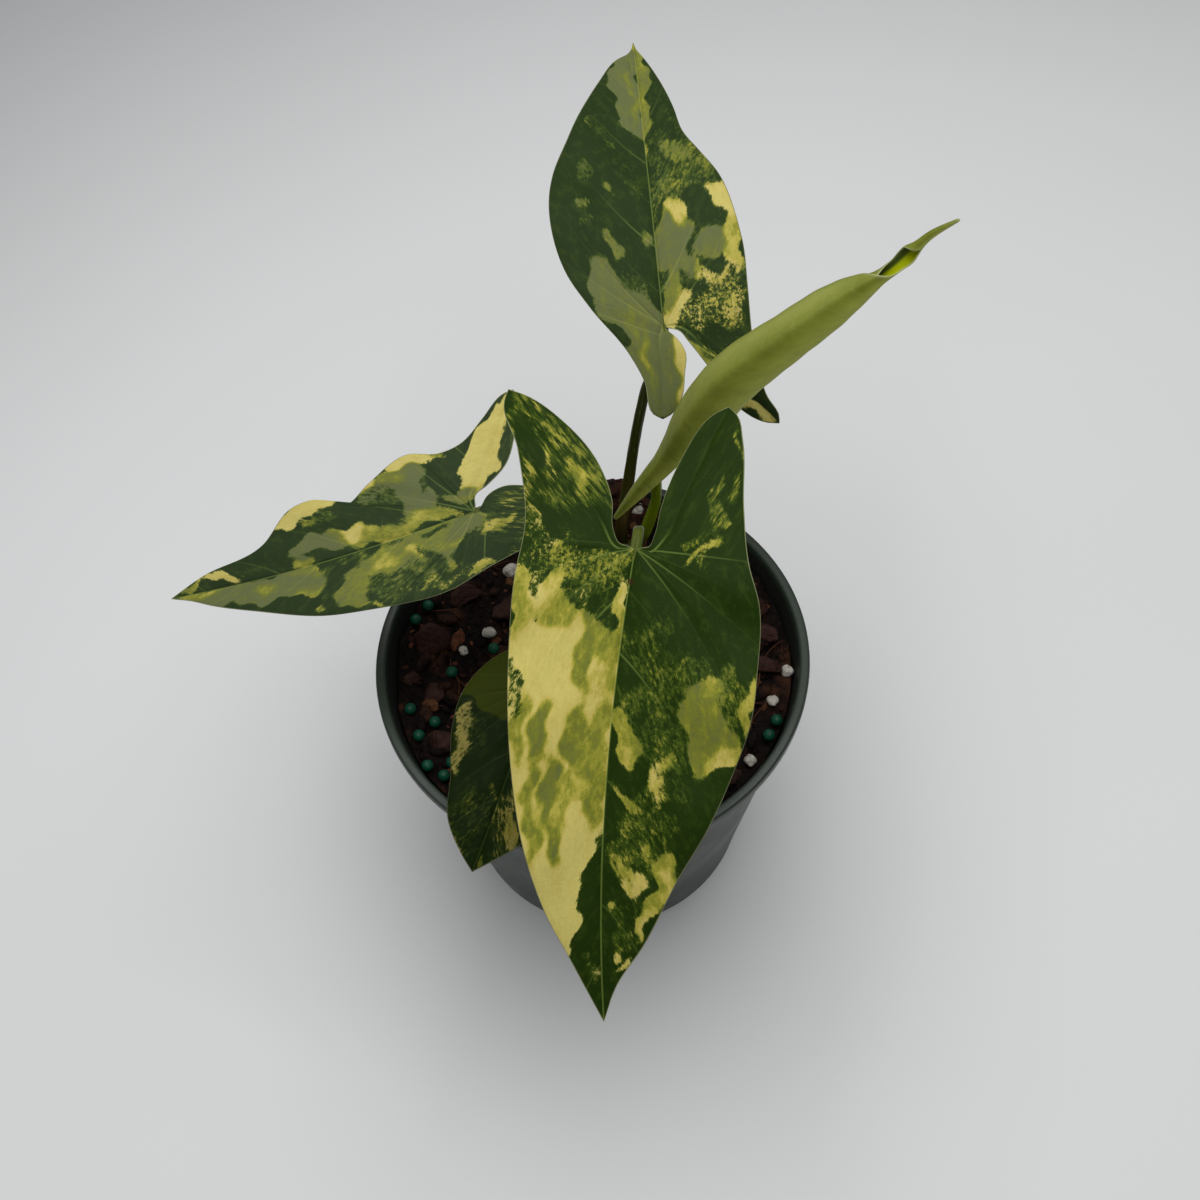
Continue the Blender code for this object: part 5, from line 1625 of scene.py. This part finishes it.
# %% Perlite material
def make_perlite_material():
    """Chalky off-white with grey pits and a little soil dust in the hollows."""
    made, tree, shader = new_material("perlite", 0.95, 0.1)
    place = own_place(tree)
    _, knob, _, _ = attribute(tree, "marks")
    fine = noise(tree, place, 2600.0, 4.0, 0.65)
    colour = mix(tree, ramp(tree, fine, 0.3, 0.55), tone(120, 114, 106), tone(170, 166, 157))
    dust = ramp(tree, knob, -0.07, 0.01, 0.45, 0.0)
    colour = mix(tree, dust, colour, tone(88, 74, 62))
    tree.links.new(colour, shader.inputs["Base Color"])
    bump(tree, shader, fine, 0.5, 0.0003)
    return made


PERLITE = make_perlite_material()
print("perlite paint:", len(PERLITE.node_tree.nodes), "nodes")


# %% Bead material, and all the single pieces
def make_bead_material():
    """Teal coating, satin, slightly darker and duller in the dimples, with dust specks."""
    made, tree, shader = new_material("fertiliser coating", 0.45, 0.2)
    place = own_place(tree)
    _, dimple, _, _ = attribute(tree, "marks")
    cloud = noise(tree, place, 700.0, 4.0)
    colour = mix(tree, cloud, tone(3, 44, 30), tone(8, 74, 52))
    colour = mix(tree, ramp(tree, dimple, -0.03, -0.01, 0.6, 0.0), colour, tone(6, 38, 28))
    dust = ramp(tree, noise(tree, place, 2600.0, 3.0), 0.62, 0.7)
    colour = tint(tree, colour, tone(40, 30, 24), dust, 0.5)
    tree.links.new(colour, shader.inputs["Base Color"])
    return made


BEAD = make_bead_material()
for number in range(1, 13):
    make_chip(f"bark_{number:02d}", number, BARK)
    make_bead(f"prill_{number:02d}", number, BEAD)
for number in range(1, 10):
    make_grain(f"perlite_{number:02d}", number, PERLITE)

# %% [markdown]
# ## The nursery pot
# A thin pot pressed from dark green plastic: a tapered wall, a thick rolled lip, and a floor with
# six drain holes that stands on a low ring. It is turned from its half section with rounded
# corners, then the holes are cut. Turning a grid gives even faces all round, so the lip stays
# smooth in a close view.

# %% Half section of the pot
def pot_section():
    """Corners of the half section, from the middle of the floor's upper side, over the lip and
    down to the middle of the underside. Each row: radius, height, how far to round it."""
    top, floor, wall = POT["height"], POT["floor"], POT["wall"]
    rim, opening, base = POT["rim"], POT["opening"], POT["base"]
    under = top - POT["lip"]
    inside = ((0, floor + 0.2, 0), (3, floor + 0.2, 0.4), (3.6, floor, 0.3),
              (inner_radius(floor) - 0.6, floor, 1.2), (inner_radius(60), 60, 0))
    lip = ((opening - 0.05, top - 1.4, 0.5), (opening + 0.35, top, 0.7), (rim, top, 0.9),
           (rim - 0.05, under, 0.7), (inner_radius(under) + wall + 0.1, under, 0.35))
    outside = tuple((inner_radius(z) + wall, z, 0) for z in (under - 6, 45, 16))
    underside = ((base - 0.1, 0, 0.9), (base - 3.2, 0, 0.3), (base - 3.8, 0.4, 0.3),
                 (4, 0.4, 0.3), (3.2, 0.15, 0.3), (0, 0.15, 0))
    return inside + lip + outside + underside


def rounded(corners, steps):
    """The outline with each corner replaced by a curve between points at the rounding distance,
    bent towards the corner."""
    points = []
    for i, (r, z, size) in enumerate(corners):
        here = np.array([r, z], float)
        if size == 0:
            points.append(here)
            continue
        before = np.array(corners[i - 1][:2], float) - here
        after = np.array(corners[i + 1][:2], float) - here
        start = here + before / np.linalg.norm(before) * size
        end = here + after / np.linalg.norm(after) * size
        for t in np.linspace(0, 1, steps):
            points.append(start * (1 - t) ** 2 + 2 * here * t * (1 - t) + end * t**2)
    return np.array(points)


print("half section:", len(pot_section()), "corners,", len(rounded(pot_section(), 6)), "points")

# %% Turned and cut
DRAIN_HOLES = 6
DRAIN_RADIUS = 4.2
DRAIN_CIRCLE = 27.0  # radius of the circle on which the drain holes lie
DRILL = ((0, 4.0), (DRAIN_RADIUS, 4.0), (DRAIN_RADIUS, -2.0), (0, -2.0))  # half section of a drill
SHARP = 40  # degrees between two faces from which their edge is shown sharp


def turned_body(name, outline, columns):
    """A closed outline turned about the z axis."""
    around = np.linspace(0, 2 * np.pi, columns)[None]
    r, z = outline[:, :1], outline[:, 1:]
    points = stacked(r * np.cos(around), r * np.sin(around), z)
    return joined_mesh(name, [(points, False, {"marks": points})])


def make_pot(paint):
    """The turned body with its drain holes cut, sharp only where faces meet steeply."""
    mesh = turned_body("pot", rounded(pot_section(), 6), 241)
    pot = bpy.data.objects.new("uncut_pot", mesh)
    bpy.context.scene.collection.objects.link(pot)
    tools = []
    for number in range(DRAIN_HOLES):
        angle = 2 * math.pi * (number + 0.5) / DRAIN_HOLES
        tool = bpy.data.objects.new("drill", turned_body("drill", np.array(DRILL), 49))
        tool.location = (DRAIN_CIRCLE * MM * math.cos(angle), DRAIN_CIRCLE * MM * math.sin(angle), 0)
        bpy.context.scene.collection.objects.link(tool)
        cut = pot.modifiers.new("cut", "BOOLEAN")
        cut.operation = "DIFFERENCE"
        cut.object = tool
        tools.append(tool)
    bpy.context.view_layer.update()
    evaluated = pot.evaluated_get(bpy.context.evaluated_depsgraph_get())
    cut_mesh = bpy.data.meshes.new_from_object(evaluated)
    for spare in (pot, *tools):
        bpy.data.objects.remove(spare)
    cut_mesh.shade_smooth()
    cut_mesh.set_sharp_from_angle(angle=math.radians(SHARP))
    cut_mesh.materials.clear()
    finished("nursery_pot", cut_mesh, paint, ["pot"])


print(DRAIN_HOLES, "drain holes", 2 * DRAIN_RADIUS, "mm wide")

# %% Pot material and the pot
SHADE_LINE = (0.0835, 0.0848)  # m: painted shade darkens the inside of the pot up to about here
SHADE_FOOT = (0.0006, 0.001)  # m: and only above the underside


def make_pot_material():
    """Dark green plastic, satin, a little mottled, with fine scuffs, and painted shade, near black
    and rougher, on its inside.
    """
    made, tree, shader = new_material("green plastic", 0.4, 0.3)
    place = own_place(tree)
    cloud = noise(tree, place, 45.0, 4.0, 0.6)
    grain = noise(tree, place, 1800.0, 3.0, 0.6)
    scuffs = ramp(tree, noise(tree, place, 160.0, 6.0, 0.75, (1, 1, 0.12)), 0.6, 0.78)
    colour = mix(tree, cloud, tone(31, 39, 31), tone(42, 52, 43))
    colour = tint(tree, colour, tone(86, 92, 84), scuffs, 0.3)
    x, y, z = node(tree, "ShaderNodeSeparateXYZ", {0: place}).outputs
    squares = maths(tree, "ADD", maths(tree, "POWER", x, 2.0), maths(tree, "POWER", y, 2.0))
    out = maths(tree, "SQRT", squares)
    taper = (inner_radius(80.0) - inner_radius(20.0)) / 60.0
    wall = maths(tree, "SUBTRACT", out, maths(tree, "MULTIPLY", z, taper))
    at_wall = inner_radius(0.0) * MM
    inner_shade = maths(tree, "MULTIPLY", ramp(tree, wall, at_wall + 0.0001, at_wall + 0.0005, 1.0, 0.0),
                   ramp(tree, z, *SHADE_LINE, 0.85, 0.0))
    inner_shade = maths(tree, "MULTIPLY", inner_shade, ramp(tree, z, *SHADE_FOOT))
    # Painted shade: the inside wall above the mix is near black, as deep in the pot's shadow.
    colour = mix(tree, inner_shade, colour, tone(9, 8, 6))
    tree.links.new(colour, shader.inputs["Base Color"])
    roughness = maths(tree, "ADD", ramp(tree, cloud, 0.3, 0.7, 0.34, 0.46),
                      maths(tree, "MULTIPLY", inner_shade, 0.4))
    tree.links.new(roughness, shader.inputs["Roughness"])
    bump(tree, shader, maths(tree, "ADD", grain, maths(tree, "MULTIPLY", cloud, 2.0)), 0.15, 0.0002)
    return made


make_pot(make_pot_material())
